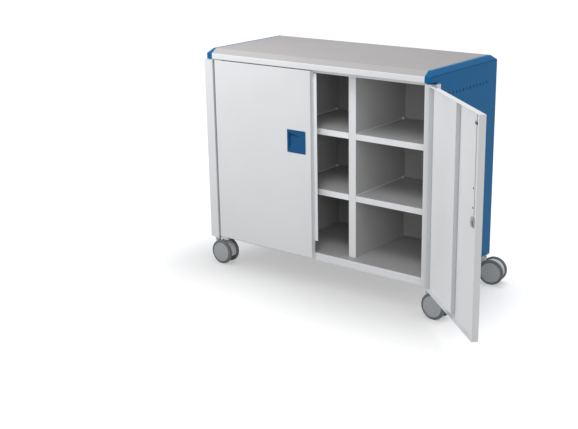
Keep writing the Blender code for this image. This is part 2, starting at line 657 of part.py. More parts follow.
def build_astragal(swing, pivot):
    """Make the strip on the left door that laps behind the right door's free edge."""
    low = (-DOOR_FREE_X - ASTRAGAL_LAP, DOOR_THICKNESS + SEAT_GAP, DOOR_FOOT_Z + ASTRAGAL_FOOT)
    high = (-DOOR_FREE_X + ASTRAGAL_REACH, low[1] + DOOR_GAUGE / 2, DOOR_TOP_Z - ASTRAGAL_HEAD)
    add_piece("left_door_astragal", shell_box(low, high), "white_paint", swing, pivot)


def lock_centre():
    """Give the lock's axis on the closed right door, as x and z."""
    return DOOR_FREE_X + LOCK_INSET, LOCK_Z


def build_lock(swing, pivot):
    """Make the lock on the right door: body, turning cam, rod and rod guide."""
    x, z = lock_centre()
    width, depth, height = LOCK_BODY_SIZE
    front = LOCK_FRONT
    body = shell_box((x - width / 2, front, z - height / 2), (x + width / 2, front + depth, z + height / 2))
    body = add_piece("lock_body", body, "zinc", swing, pivot)
    bore = prism(circle((x, z), LOCK_PLUG_RADIUS + RUNNING_GAP), "y", front - depth, front + 2 * depth)
    combine(body, "lock_bore", bore, "DIFFERENCE", pivot)

    plane = ROD_FRONT
    cam_front = plane + ROD_THICKNESS + 2 * SEAT_GAP
    axis = (x, 0.0, z)
    cam_empty = add_empty("lock_axis", Vector(axis) - Vector(pivot), swing)
    plug = prism(circle((x, z), LOCK_PLUG_RADIUS), "y", -LOCK_PLUG_PROUD, cam_front + CAM_THICKNESS / 2)
    cam = add_piece("lock_cam", plug, "zinc", cam_empty, axis, smooth=True)
    rose = prism(circle((x, z), LOCK_ROSE_RADIUS), "y", -LOCK_PLUG_PROUD, -SEAT_GAP)
    combine(cam, "lock_rose", rose, "UNION", axis)
    swing_to = math.radians(CAM_REST_ANGLE)
    tip = (x + CAM_THROW * math.cos(swing_to), z + CAM_THROW * math.sin(swing_to))
    lever_end = circle(tip, 2 * CAM_PIN_RADIUS, ROUND_STEPS // 2, CAM_REST_ANGLE - 90.0, 180.0)
    root_radius = LOCK_PLUG_RADIUS + CAM_PIN_RADIUS
    lever_root = circle((x, z), root_radius, ROUND_STEPS // 2, CAM_REST_ANGLE + 90.0, 180.0)
    lever = prism(lever_end + lever_root, "y", cam_front, cam_front + CAM_THICKNESS)
    combine(cam, "lock_lever", lever, "UNION", axis)
    pin = prism(circle(tip, CAM_PIN_RADIUS), "y", plane - SEAT_GAP, cam_front + CAM_THICKNESS / 2)
    combine(cam, "lock_pin", pin, "UNION", axis)

    rod_x = DOOR_FREE_X + ROD_INSET
    left, right = rod_x - ROD_WIDTH / 2, rod_x + ROD_WIDTH / 2
    fork_end = x - LOCK_PLUG_RADIUS - CAM_PIN_RADIUS + SEAT_GAP
    slot = FORK_SLOT / 2
    outline = [(left, tip[1] - slot - FORK_TINE), (fork_end, tip[1] - slot - FORK_TINE),
               (fork_end, tip[1] - slot), (right, tip[1] - slot), (right, tip[1] + slot),
               (fork_end, tip[1] + slot), (fork_end, tip[1] + slot + FORK_TINE),
               (right, tip[1] + slot + FORK_TINE), (right, DOOR_TOP_Z - ROD_TOP_SINK),
               (left, DOOR_TOP_Z - ROD_TOP_SINK)]
    rod = prism(outline, "y", plane, plane + ROD_THICKNESS)
    add_piece("lock_rod", rod, "zinc", swing, pivot)

    guide_width, guide_height = GUIDE_SIZE
    top = DOOR_TOP_Z - GUIDE_DROP
    block = shell_box((rod_x - guide_width / 2, front, top - guide_height),
                      (rod_x + guide_width / 2, plane + 2 * ROD_THICKNESS, top))
    guide = add_piece("lock_rod_guide", block, "zinc", swing, pivot)
    way = shell_box((left - SEAT_GAP, plane - SEAT_GAP, top - 2 * guide_height),
                    (right + SEAT_GAP, plane + ROD_THICKNESS + SEAT_GAP, top + guide_height))
    combine(guide, "rod_way", way, "DIFFERENCE", pivot)


def build_door(hand, side, root):
    """Build one door on an empty that stands on its hinge axis."""
    pivot = (side * PIVOT_X, PIVOT_SETBACK, 0.0)
    swing = add_empty(f"{hand}_door_axis", pivot, root, DOOR_OPEN_ANGLE if side > 0 else 0.0)
    build_door_pan(f"{hand}_door_pan", side, swing, pivot)
    build_door_liner(f"{hand}_door_liner", side, swing, pivot)
    build_stiffener(f"{hand}_door_stiffener", side, swing, pivot)
    build_handle(f"{hand}_door_handle", side, swing, pivot)
    build_hinge_arm(f"{hand}_upper_hinge_arm", side, swing, pivot, upper=True)
    build_hinge_arm(f"{hand}_lower_hinge_arm", side, swing, pivot, upper=False)
    if side > 0:
        build_lock(swing, pivot)
    else:
        build_astragal(swing, pivot)


def wheel_profile():
    """List a wheel's section from the middle of its outer face to its bore, for the +Y wheel."""
    outer = CASTER_WIDTH / 2
    inner = outer - WHEEL_WIDTH
    wall = outer - WHEEL_SHOULDER
    tread = WHEEL_RADIUS
    cover = WHEEL_COVER_RADIUS
    core = cover - WHEEL_SHOULDER
    edge = WHEEL_EDGE_ROUND
    bore = AXLE_RADIUS + RUNNING_GAP
    return [(0.0, outer), (core, outer), (cover, outer - edge), (cover + WHEEL_GROOVE, wall), (tread - edge, wall),
            (tread, outer - WHEEL_TREAD_DROP), (tread, inner + edge), (tread - edge, inner),
            (core, inner), (core, outer - WHEEL_SKIN),
            (WHEEL_HUB_RADIUS, outer - WHEEL_SKIN), (WHEEL_HUB_RADIUS, inner), (bore, inner),
            (bore, outer - WHEEL_SKIN / 2), (0.0, outer - WHEEL_SKIN / 2)]


def build_caster(place, stem_x, stem_y, root):
    """Build one twin-wheel caster: hood with its stem, axle and two wheels."""
    swivel = add_empty(f"{place}_swivel_axis", (stem_x, stem_y, 0.0), root, CASTER_YAWS[place])
    centre = (CASTER_TRAIL, WHEEL_RADIUS)
    gap_half = CASTER_WIDTH / 2 - WHEEL_WIDTH - HOOD_SIDE_GAP
    drop = math.degrees(math.asin(HOOD_FOOT / HOOD_RADIUS))
    outline = circle(centre, HOOD_RADIUS, ROUND_STEPS, -drop, 180.0 + 2 * drop)
    hood = add_piece(f"{place}_caster_hood", prism(outline, "y", -gap_half, gap_half), "grey_plastic",
                     swivel, smooth=True)
    inner_radius = HOOD_RADIUS - HOOD_WALL
    drop = math.degrees(math.asin(2 * HOOD_FOOT / inner_radius))
    hollow = prism(circle(centre, inner_radius, ROUND_STEPS, -drop, 180.0 + 2 * drop), "y",
                   -gap_half + HOOD_WALL, gap_half - HOOD_WALL)
    combine(hood, f"{place}_hood_hollow", hollow, "DIFFERENCE")
    boss_top = CASTER_HEIGHT - STEM_BOSS_GAP
    boss = prism(circle((0.0, 0.0), STEM_BOSS_RADIUS), "z", STEM_BOSS_FOOT, boss_top)
    combine(hood, f"{place}_stem_boss", boss, "UNION")
    stem = prism(circle((0.0, 0.0), STEM_RADIUS), "z", boss_top - STEM_RADIUS, CASTER_HEIGHT + STEM_DEPTH)
    combine(hood, f"{place}_stem", stem, "UNION")
    bore = prism(circle(centre, AXLE_RADIUS + RUNNING_GAP), "y", -CASTER_WIDTH, CASTER_WIDTH)
    combine(hood, f"{place}_axle_bore", bore, "DIFFERENCE")

    hub = add_empty(f"{place}_wheel_axis", (CASTER_TRAIL, 0.0, WHEEL_RADIUS), swivel)
    reach = CASTER_WIDTH / 2 - WHEEL_SKIN / 2 - AXLE_END_GAP
    axle = prism(circle((0.0, 0.0), AXLE_RADIUS), "y", -reach, reach)
    add_piece(f"{place}_axle", axle, "zinc", hub, smooth=True)
    for wheel, flip in (("inner_wheel", 1), ("outer_wheel", -1)):
        shape = revolve(wheel_profile(), WHEEL_STEPS)
        if flip < 0:
            bmesh.ops.scale(shape, vec=(1, -1, 1), verts=shape.verts)
            bmesh.ops.reverse_faces(shape, faces=shape.faces)
        add_piece(f"{place}_{wheel}", shape, "tyre_grey", hub, smooth=True)


def stand_on_origin(root):
    """Move the assembly so that the middle of its base is the origin."""
    bpy.context.view_layer.update()
    graph = bpy.context.evaluated_depsgraph_get()
    points = []
    for item in bpy.data.objects:
        if item.type == "MESH" and not item.hide_render:
            whole = item.evaluated_get(graph)
            points += [whole.matrix_world @ vert.co for vert in whole.data.vertices]
    spans = [(min(p[i] for p in points), max(p[i] for p in points)) for i in range(3)]
    root.location = (-sum(spans[0]) / 2, -sum(spans[1]) / 2, -spans[2][0])
    bpy.context.view_layer.update()


def main():
    """Build the whole cabinet."""
    clear_scene()
    root = add_empty("cabinet_datum", (0.0, 0.0, 0.0), None)
    build_worktop(root)
    for hand, side in (("left", -1), ("right", 1)):
        build_end_panel(f"{hand}_end_panel", side, root)
        build_side_liner(f"{hand}_side_liner", side, root)
        build_front_post(f"{hand}_front_post", side, root)
        build_upper_pivot_block(f"{hand}_upper_pivot_block", side, root)
        build_front_socket(f"front_{hand}_caster_socket", side, root)
        build_back_socket(f"back_{hand}_caster_socket", side, root)
    build_top_rail(root)
    build_deck(root)
    build_backs(root)
    build_divider("left_divider", LEFT_DIVIDER_CENTRE, root)
    build_divider("right_divider", RIGHT_DIVIDER_CENTRE, root)
    build_shelves(root)
    for hand, side in (("left", -1), ("right", 1)):
        build_door(hand, side, root)
        build_caster(f"front_{hand}", side * PIVOT_X, FRONT_STEM_Y, root)
        build_caster(f"back_{hand}", side * BACK_STEM_X, BACK_STEM_Y, root)
    stand_on_origin(root)


if __name__ == "__main__":
    main()
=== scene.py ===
"""Looks of a mobile storage cabinet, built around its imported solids.

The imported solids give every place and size. Folded sheet pieces are modelled again with their bend radii,
handles, casters and fixings with their moulded detail, and each piece rides on the body it belongs to.
"""

from __future__ import annotations

import json
import logging
import math
from contextlib import contextmanager
from dataclasses import dataclass
from enum import Enum
from typing import Any, Callable, Iterator, Sequence

import bmesh
import bpy
from mathutils import Matrix, Quaternion, Vector

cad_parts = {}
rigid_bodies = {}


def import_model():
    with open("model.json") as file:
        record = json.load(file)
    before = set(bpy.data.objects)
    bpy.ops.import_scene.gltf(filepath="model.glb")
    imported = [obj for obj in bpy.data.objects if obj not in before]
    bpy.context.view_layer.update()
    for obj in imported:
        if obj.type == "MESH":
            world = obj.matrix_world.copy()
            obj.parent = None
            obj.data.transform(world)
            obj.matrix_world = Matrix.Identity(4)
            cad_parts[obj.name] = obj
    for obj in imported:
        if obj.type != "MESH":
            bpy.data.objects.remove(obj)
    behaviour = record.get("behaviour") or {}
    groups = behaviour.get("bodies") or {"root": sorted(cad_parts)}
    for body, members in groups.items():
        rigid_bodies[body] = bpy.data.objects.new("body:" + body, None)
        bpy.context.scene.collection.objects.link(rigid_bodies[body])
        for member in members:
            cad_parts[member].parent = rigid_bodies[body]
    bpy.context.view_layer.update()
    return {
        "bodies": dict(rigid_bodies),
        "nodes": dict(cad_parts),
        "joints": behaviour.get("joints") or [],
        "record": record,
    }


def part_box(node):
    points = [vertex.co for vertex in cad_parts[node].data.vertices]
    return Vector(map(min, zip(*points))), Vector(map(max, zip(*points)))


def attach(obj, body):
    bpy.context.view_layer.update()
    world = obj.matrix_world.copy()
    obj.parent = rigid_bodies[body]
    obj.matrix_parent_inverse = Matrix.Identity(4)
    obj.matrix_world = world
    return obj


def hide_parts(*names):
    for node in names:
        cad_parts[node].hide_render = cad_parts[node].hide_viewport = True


LOG = logging.getLogger("cabinet")

Piece = bpy.types.Object
Spot = Sequence[float]
FaceTest = Callable[[bmesh.types.BMFace], bool]
EdgeTest = Callable[[bmesh.types.BMEdge], bool]
PointTest = Callable[[bmesh.types.BMVert], bool]

PHOTO_WIDTH = 578
SMOOTH_ANGLE = math.radians(38)
FOLD_ANGLE = math.radians(12)
BEND_STEPS = 3
ROUND_STEPS = 4
SAME = 1e-5
FACES = 0.99
LEAST_ROUGHNESS = 0.05
GRAIN_STRENGTH = 0.35
PLAIN_WHITE = (1.0, 1.0, 1.0, 1.0)


class Facing(Enum):
    """A direction that a side of a piece can face."""

    LEFT = (-1.0, 0.0, 0.0)
    RIGHT = (1.0, 0.0, 0.0)
    FRONT = (0.0, -1.0, 0.0)
    BACK = (0.0, 1.0, 0.0)
    BELOW = (0.0, 0.0, -1.0)
    ABOVE = (0.0, 0.0, 1.0)

    def vector(self) -> Vector:
        """Give the direction as a vector."""
        return Vector(self.value)

    def turn(self) -> Quaternion:
        """Give the turn that points an upright piece this way."""
        return Facing.ABOVE.vector().rotation_difference(self.vector())


class Hand(Enum):
    """The two ends of the cabinet."""

    LEFT = "left"
    RIGHT = "right"

    def facing(self) -> Facing:
        """Give the way that this end faces."""
        return Facing.LEFT if self is Hand.LEFT else Facing.RIGHT

    def sign(self) -> int:
        """Give -1 on the left and 1 on the right."""
        return -1 if self is Hand.LEFT else 1


class Join(Enum):
    """How one mesh acts on another."""

    CUT = "DIFFERENCE"
    ADD = "UNION"


class Slot(Enum):
    """The record's material slots."""

    WHITE = "white_paint"
    INTERIOR = "interior_paint"
    GREY = "grey_paint"
    BLUE = "blue_paint"
    BLUE_PLASTIC = "blue_plastic"
    ZINC = "zinc"
    GREY_PLASTIC = "grey_plastic"
    TYRE = "tyre_grey"


class Reach(Enum):
    """Which pieces a lamp lights: all but a group, or a group alone."""

    OFF_INSIDE = "off_inside"
    OFF_DOOR = "off_door"
    OFF_WORKTOP = "off_worktop"
    ON_WORKTOP = "on_worktop"
    ON_SHELVES = "on_shelves"
    ON_MIDDLE = "on_middle"
    ON_SIDES = "on_sides"
    ON_DOOR = "on_door"

    def state(self) -> str:
        """Give Blender's word for how the lamp treats its group."""
        return "EXCLUDE" if self.value.startswith("off") else "INCLUDE"


def near(value: float, level: float) -> bool:
    """Tell whether two measures are the same, apart from rounding."""
    return abs(value - level) < SAME


def linear(colour: Sequence[int]) -> tuple[float, float, float, float]:
    """Turn an 8-bit colour into the linear colour that a shader takes.

    Args:
        colour: red, green and blue from 0 to 255.

    Returns:
        The linear colour with full opacity.
    """
    shares = [value / 255 for value in colour]
    parts = [s / 12.92 if s <= 0.04045 else ((s + 0.055) / 1.055) ** 2.4 for s in shares]
    return parts[0], parts[1], parts[2], 1.0


def fill(node: bpy.types.Node, inputs: dict[str | int, Any]) -> None:
    """Fill a shader node's inputs.

    Args:
        node: the node.
        inputs: what goes into each input: a socket is linked, and anything else is the input's value.
    """
    for name, value in inputs.items():
        if isinstance(value, bpy.types.NodeSocket):
            node.id_data.links.new(value, node.inputs[name])
        else:
            node.inputs[name].default_value = value


def add_node(tree: bpy.types.NodeTree, kind: str, inputs: dict[str | int, Any],
             **settings: str) -> bpy.types.Node:
    """Add a shader node, set it up and fill its inputs.

    Args:
        tree: the node tree.
        kind: the node's type, without the prefix that all of them share.
        inputs: what goes into each input, as fill takes it.
        settings: the node's own settings, such as its operation.

    Returns:
        The node.
    """
    node = tree.nodes.new("ShaderNode" + kind)
    for name, value in settings.items():
        setattr(node, name, value)
    fill(node, inputs)
    return node


@dataclass(frozen=True)
class Finish:
    """A surface finish: colour with a slight mottle, uneven gloss and a fine grain."""

    name: str
    slot: Slot
    colour: tuple[int, int, int]
    roughness: float
    metallic: float = 0.0
    specular: float = 0.5
    mottle: float = 0.04
    mottle_scale: float = 5.0
    mottle_detail: float = 3.0
    gloss_change: float = 0.06
    gloss_scale: float = 24.0
    grain_height: float = 0.00004
    grain_scale: float = 420.0
    fine_detail: float = 2.0
    stretch: tuple[float, float, float] = (1.0, 1.0, 1.0)

    def material(self) -> bpy.types.Material:
        """Give the finish's material, made the first time that it is asked for.

        Returns:
            A procedural material on Object coordinates.
        """
        found = bpy.data.materials.get(self.name)
        if found is not None:
            return found
        material = bpy.data.materials.new(self.name)
        material.use_nodes = True
        tree = material.node_tree
        place = add_node(tree, "TexCoord", {})
        mapping = add_node(tree, "Mapping", {"Vector": place.outputs["Object"], "Scale": self.stretch})
        patterns = ((self.mottle_scale, self.mottle_detail), (self.gloss_scale, self.fine_detail),
                    (self.grain_scale, self.fine_detail))
        spot = mapping.outputs["Vector"]
        mottle, gloss, grain = (
            add_node(tree, "TexNoise", {"Vector": spot, "Scale": scale, "Detail": detail}).outputs["Fac"]
            for scale, detail in patterns)
        tint = add_node(tree, "Mix", {
            "A": self._shaded(1.0 - self.mottle),
            "B": self._shaded(1.0 + self.mottle),
            "Factor": mottle,
        }, data_type="RGBA")
        spread = add_node(tree, "MapRange", {
            "Value": gloss,
            "To Min": max(LEAST_ROUGHNESS, self.roughness - self.gloss_change),
            "To Max": min(1.0, self.roughness + self.gloss_change),
        })
        bump = add_node(tree, "Bump", {
            "Height": grain,
            "Strength": GRAIN_STRENGTH,
            "Distance": self.grain_height,
        })
        fill(tree.nodes["Principled BSDF"], {
            "Metallic": self.metallic,
            "Specular IOR Level": self.specular,
            "Base Color": tint.outputs["Result"],
            "Roughness": spread.outputs["Result"],
            "Normal": bump.outputs["Normal"],
        })
        return material

    def _shaded(self, share: float) -> tuple[float, ...]:
        """Give the colour made lighter or darker by a share."""
        return tuple(min(1.0, part * share) for part in linear(self.colour)[:3]) + (1.0,)


WHITE_PAINT = Finish("white_powder_coat", Slot.WHITE, (220, 222, 224), 0.42)
GREY_PAINT = Finish("grey_powder_coat", Slot.GREY, (179, 177, 177), 0.60, specular=0.03,
                    grain_height=0.00006)
# A grey copy of the white paint for the inner faces of liners, dividers, deck and shelves: painted shade of
# the deep interior.
INTERIOR_PAINTED_SHADE = Finish("interior_powder_coat", Slot.INTERIOR, (166, 166, 166), 0.55)
BLUE_PAINT = Finish("blue_powder_coat", Slot.BLUE, (16, 98, 150), 0.42, specular=0.08, mottle=0.05)
# A dark blue for the strip along the end panels' crease: painted shade in the seam.
BLUE_SEAM_PAINTED_SHADE = Finish("blue_seam_shade", Slot.BLUE, (14, 50, 84), 0.6, specular=0.1)
# A darker blue for the handle scoop's top wall: painted shade under the scoop's upper lip.
BLUE_PAINTED_SHADE = Finish("blue_grip", Slot.BLUE_PLASTIC, (8, 52, 86), 0.5, specular=0.1, grain_scale=300.0)
# Near-black for the sheet behind the vents: painted shade seen through the slots.
VENT_PAINTED_SHADE = Finish("vent_foam", Slot.BLUE, (12, 13, 15), 0.9, specular=0.05)
BLUE_MOULDING = Finish("blue_moulding", Slot.BLUE_PLASTIC, (22, 81, 129), 0.34, specular=0.12,
                       grain_scale=900.0)
ZINC_PLATE = Finish("zinc_plate", Slot.ZINC, (184, 186, 188), 0.34, metallic=0.85, mottle=0.08,
                    mottle_scale=40.0, stretch=(1.0, 1.0, 0.15))
DARK_STEEL = Finish("dark_steel", Slot.ZINC, (74, 76, 78), 0.45, metallic=0.5)
GREY_NYLON = Finish("grey_nylon", Slot.GREY_PLASTIC, (160, 163, 165), 0.46, grain_scale=800.0)
# A paler nylon for the caster hood between the wheels: painted light that lifts the shade there.
PALE_NYLON_PAINTED_LIGHT = Finish("pale_nylon", Slot.GREY_PLASTIC, (204, 206, 208), 0.46, grain_scale=800.0)
SOFT_TREAD = Finish("soft_tread", Slot.TYRE, (102, 104, 105), 0.62, grain_scale=600.0, grain_height=0.00008)


class Bench:
    """Hand tools of the modelling bench, each a small set of Blender operators."""

    @staticmethod
    def clear() -> None:
        """Leave nothing selected."""
        bpy.ops.object.select_all(action="DESELECT")

    @staticmethod
    def hold(item: Piece) -> None:
        """Select one object alone and make it the active one.

        Args:
            item: the object.
        """
        Bench.clear()
        item.select_set(True)
        bpy.context.view_layer.objects.active = item

    @staticmethod
    @contextmanager
    def edit(item: Piece) -> Iterator[None]:
        """Work on one object in edit mode, with nothing selected at the start.

        Args:
            item: the object.

        Returns:
            A context that goes back to object mode at its end.
        """
        Bench.hold(item)
        bpy.ops.object.mode_set(mode="EDIT")
        bpy.ops.mesh.select_all(action="DESELECT")
        yield
        bpy.ops.object.mode_set(mode="OBJECT")

    @staticmethod
    def pick_faces(item: Piece, test: FaceTest) -> None:
        """In edit mode, select the faces that pass a test, and no others."""
        Bench._pick(item, "FACE", lambda mesh: mesh.faces, test)

    @staticmethod
    def pick_edges(item: Piece, test: EdgeTest) -> None:
        """In edit mode, select the edges that pass a test, and no others."""
        Bench._pick(item, "EDGE", lambda mesh: mesh.edges, test)

    @staticmethod
    def pick_rims(item: Piece, test: Callable[[Vector], bool]) -> None:
        """In edit mode, select the edges whose two ends both lie where a test says."""
        Bench.pick_edges(item, lambda edge: all(test(point.co) for point in edge.verts))

    @staticmethod
    def pick_points(item: Piece, test: PointTest) -> None:
        """In edit mode, select the points that pass a test, and no others."""
        Bench._pick(item, "VERT", lambda mesh: mesh.verts, test)

    @staticmethod
    def _pick(item: Piece, mode: str, part: Callable[[bmesh.types.BMesh], Any],
              test: Callable[[Any], bool]) -> None:
        """Select one kind of element by a test.

        Args:
            item: the object in edit mode.
            mode: Blender's word for the kind.
            part: gives the elements of that kind in a mesh.
            test: which of them are selected.
        """
        bpy.ops.mesh.select_mode(type=mode)
        bpy.ops.mesh.select_all(action="DESELECT")
        mesh = bmesh.from_edit_mesh(item.data)
        for element in part(mesh):
            if test(element):
                element.select_set(True)
        mesh.select_flush_mode()
        bmesh.update_edit_mesh(item.data)

    @staticmethod
    def extrude(step: Spot) -> None:
        """In edit mode, extrude the selected edges by a step."""
        bpy.ops.mesh.extrude_edges_move(TRANSFORM_OT_translate={"value": step})

    @staticmethod
    def shift(step: Spot) -> None:
        """In edit mode, move what is selected by a step."""
        bpy.ops.transform.translate(value=step)

    @staticmethod
    def slice_off(point: Spot, normal: Spot) -> None:
        """In edit mode, cut the whole mesh by a plane, drop what lies past it and close the cut.

        Args:
            point: a point of the plane.
            normal: the way towards what is dropped.
        """
        bpy.ops.mesh.select_all(action="SELECT")
        bpy.ops.mesh.bisect(plane_co=point, plane_no=normal, use_fill=True, clear_outer=True)

    @staticmethod
    def align_faces() -> None:
        """In edit mode, turn all faces of the mesh the same way."""
        bpy.ops.mesh.select_all(action="SELECT")
        bpy.ops.mesh.normals_make_consistent(inside=False)

    @staticmethod
    def inset(steps: Sequence[tuple[float, float]]) -> None:
        """In edit mode, step the selected face inwards.

        Args:
            steps: each step's width and rise.
        """
        for width, rise in steps:
            bpy.ops.mesh.inset(thickness=width, depth=rise)

    @staticmethod
    def _named(name: str) -> Piece:
        """Name the object that an operator has just made, and apply its place to its mesh.

        Args:
            name: the object's new name.

        Returns:
            The object.
        """
        item = bpy.context.object
        item.name = name
        item.data.name = name
        bpy.ops.object.transform_apply(location=True, rotation=True, scale=True)
        return item

    @staticmethod
    def block(name: str, low: Spot, high: Spot) -> Piece:
        """Add a block between two corners.

        Args:
            name: the new object's name.
            low: the lowest corner.
            high: the highest corner.

        Returns:
            The block, with its place in its mesh.
        """
        Bench.clear()
        low, high = Vector(low), Vector(high)
        bpy.ops.mesh.primitive_cube_add(size=1.0, location=(low + high) / 2)
        bpy.context.object.scale = high - low
        return Bench._named(name)

    @staticmethod
    def round_bar(name: str, centre: Spot, radius: float, length: float, steps: int,
                  along: Facing = Facing.ABOVE) -> Piece:
        """Add a round bar about a centre.

        Args:
            name: the new object's name.
            centre: the middle of the bar.
            radius: its radius.
            length: its length.
            steps: how many sides the round has.
            along: the direction of its axis.

        Returns:
            The bar, with its place in its mesh.
        """
        Bench.clear()
        bpy.ops.mesh.primitive_cylinder_add(vertices=steps, radius=radius, depth=length, location=centre,
                                            rotation=along.turn().to_euler())
        return Bench._named(name)

    @staticmethod
    def apply(item: Piece, modifier: bpy.types.Modifier) -> None:
        """Apply one modifier to its object."""
        Bench.hold(item)
        bpy.ops.object.modifier_apply(modifier=modifier.name)

    @staticmethod
    def combine(item: Piece, tool: Piece, join: Join) -> None:
        """Cut one object from another, or join it on, and remove the tool.

        Args:
            item: the object that stays.
            tool: the object that is used up.
            join: whether the tool is cut away or added.
        """
        modifier = item.modifiers.new("shape", "BOOLEAN")
        modifier.operation = join.value
        modifier.object = tool
        modifier.solver = "EXACT"
        Bench.apply(item, modifier)
        Bench.remove(tool)

    @staticmethod
    def gather(items: Sequence[Piece], name: str) -> Piece:
        """Join several objects into one mesh.

        Args:
            items: the objects, which are used up.
            name: the joined object's name.

        Returns:
            The joined object.
        """
        Bench.clear()
        for item in items:
            item.select_set(True)
        bpy.context.view_layer.objects.active = items[0]
        bpy.ops.object.join()
        return Bench._named(name)

    @staticmethod
    def open_sides(item: Piece, sides: Sequence[Facing]) -> None:
        """Delete the faces of a block that face the given ways.

        Args:
            item: the block.
            sides: the ways.
        """
        ways = [side.vector() for side in sides]
        with Bench.edit(item):
            Bench.pick_faces(item, lambda face: any(face.normal.dot(way) > FACES for way in ways))
            bpy.ops.mesh.delete(type="FACE")

    @staticmethod
    def round_folds(item: Piece, radius: float, steps: int = BEND_STEPS,
                    test: EdgeTest = lambda edge: True) -> None:
        """Round the folded edges of a piece.

        Args:
            item: the piece.
            radius: the bend's radius.
            steps: how many faces the bend has.
            test: which of the folds are rounded.
        """
        with Bench.edit(item):
            Bench.pick_edges(item, lambda edge: len(edge.link_faces) == 2
                             and edge.calc_face_angle(0.0) > FOLD_ANGLE and test(edge))
            bpy.ops.mesh.bevel(offset=radius, offset_type="OFFSET", segments=steps, profile=0.5,
                               affect="EDGES", clamp_overlap=True)

    @staticmethod
    def face_out(item: Piece, rank: Callable[[bpy.types.MeshPolygon], float], way: Facing) -> None:
        """Turn an open shell right side out.

        Args:
            item: the shell.
            rank: picks the face to go by, the one that ranks highest.
            way: the way that this face has to look.
        """
        if max(item.data.polygons, key=rank).normal.dot(way.vector()) < 0:
            item.data.flip_normals()

    @staticmethod
    def thicken(item: Piece, gauge: float) -> None:
        """Give a shell its sheet thickness, inwards from its outer face.

        Args:
            item: the shell.
            gauge: the sheet's thickness.
        """
        modifier = item.modifiers.new("gauge", "SOLIDIFY")
        modifier.thickness = gauge
        modifier.offset = -1.0
        modifier.use_even_offset = True
        Bench.apply(item, modifier)

    @staticmethod
    def soften(item: Piece, radius: float, steps: int = 2) -> None:
        """Round every sharp edge of a moulded piece by a small radius.

        Args:
            item: the piece.
            radius: the rounding's width.
            steps: how many faces the rounding has.
        """
        modifier = item.modifiers.new("soften", "BEVEL")
        modifier.width = radius
        modifier.segments = steps
        modifier.limit_method = "ANGLE"
        modifier.angle_limit = SMOOTH_ANGLE
        modifier.use_clamp_overlap = True
        modifier.miter_outer = "MITER_ARC"
        Bench.apply(item, modifier)

    @staticmethod
    def copy(item: Piece, name: str, place: Matrix) -> Piece:
        """Copy an object with its own mesh, moved by a matrix.

        Args:
            item: the object to copy.
            name: the copy's name.
            place: the move, which may mirror.

        Returns:
            The copy, with its place in its mesh.
        """
        twin = bpy.data.objects.new(name, item.data.copy())
        twin.data.name = name
        bpy.context.scene.collection.objects.link(twin)
        Bench.move(twin, place)
        return twin

    @staticmethod
    def move(item: Piece, place: Matrix) -> None:
        """Move an object's mesh by a matrix, and keep its faces outwards where the matrix mirrors.

        Args:
            item: the object.
            place: the move.
        """
        item.data.transform(place)
        if place.determinant() < 0:
            item.data.flip_normals()

    @staticmethod
    def remove(item: Piece) -> None:
        """Delete an object that has been used up."""
        bpy.data.objects.remove(item, do_unlink=True)

    @staticmethod
    def paint(item: Piece, main: Finish, other: Finish,
              test: Callable[[bpy.types.MeshPolygon], bool]) -> None:
        """Give a piece two finishes.

        Args:
            item: the piece.
            main: the finish of most faces.
            other: the finish of the faces that pass the test.
            test: which faces take the other finish.
        """
        for finish in (main, other):
            item.data.materials.append(finish.material())
        for face in item.data.polygons:
            face.material_index = int(test(face))

    @staticmethod
    def dress(item: Piece, finish: Finish, body: str, replaced: Sequence[str] = (),
              place: Matrix | None = None) -> None:
        """Smooth a finished piece, give it its finish and set it on its body.

        Args:
            item: the piece.
            finish: its finish; where the piece is painted already, it is only named in the log.
            body: the body that carries it.
            replaced: the nodes that it stands for.
            place: a move to its place at rest, where it was built elsewhere.
        """
        if place is not None:
            Bench.move(item, place)
        Bench.hold(item)
        bpy.ops.object.shade_smooth_by_angle(angle=SMOOTH_ANGLE)
        weigh = item.modifiers.new("flats", "WEIGHTED_NORMAL")
        weigh.keep_sharp = True
        Bench.apply(item, weigh)
        if not item.data.materials:
            item.data.materials.append(finish.material())
        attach(item, body)
        if replaced:
            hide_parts(*replaced)
        LOG.info("%s: %d faces, %s, on %s", item.name, len(item.data.polygons), finish.name, body)


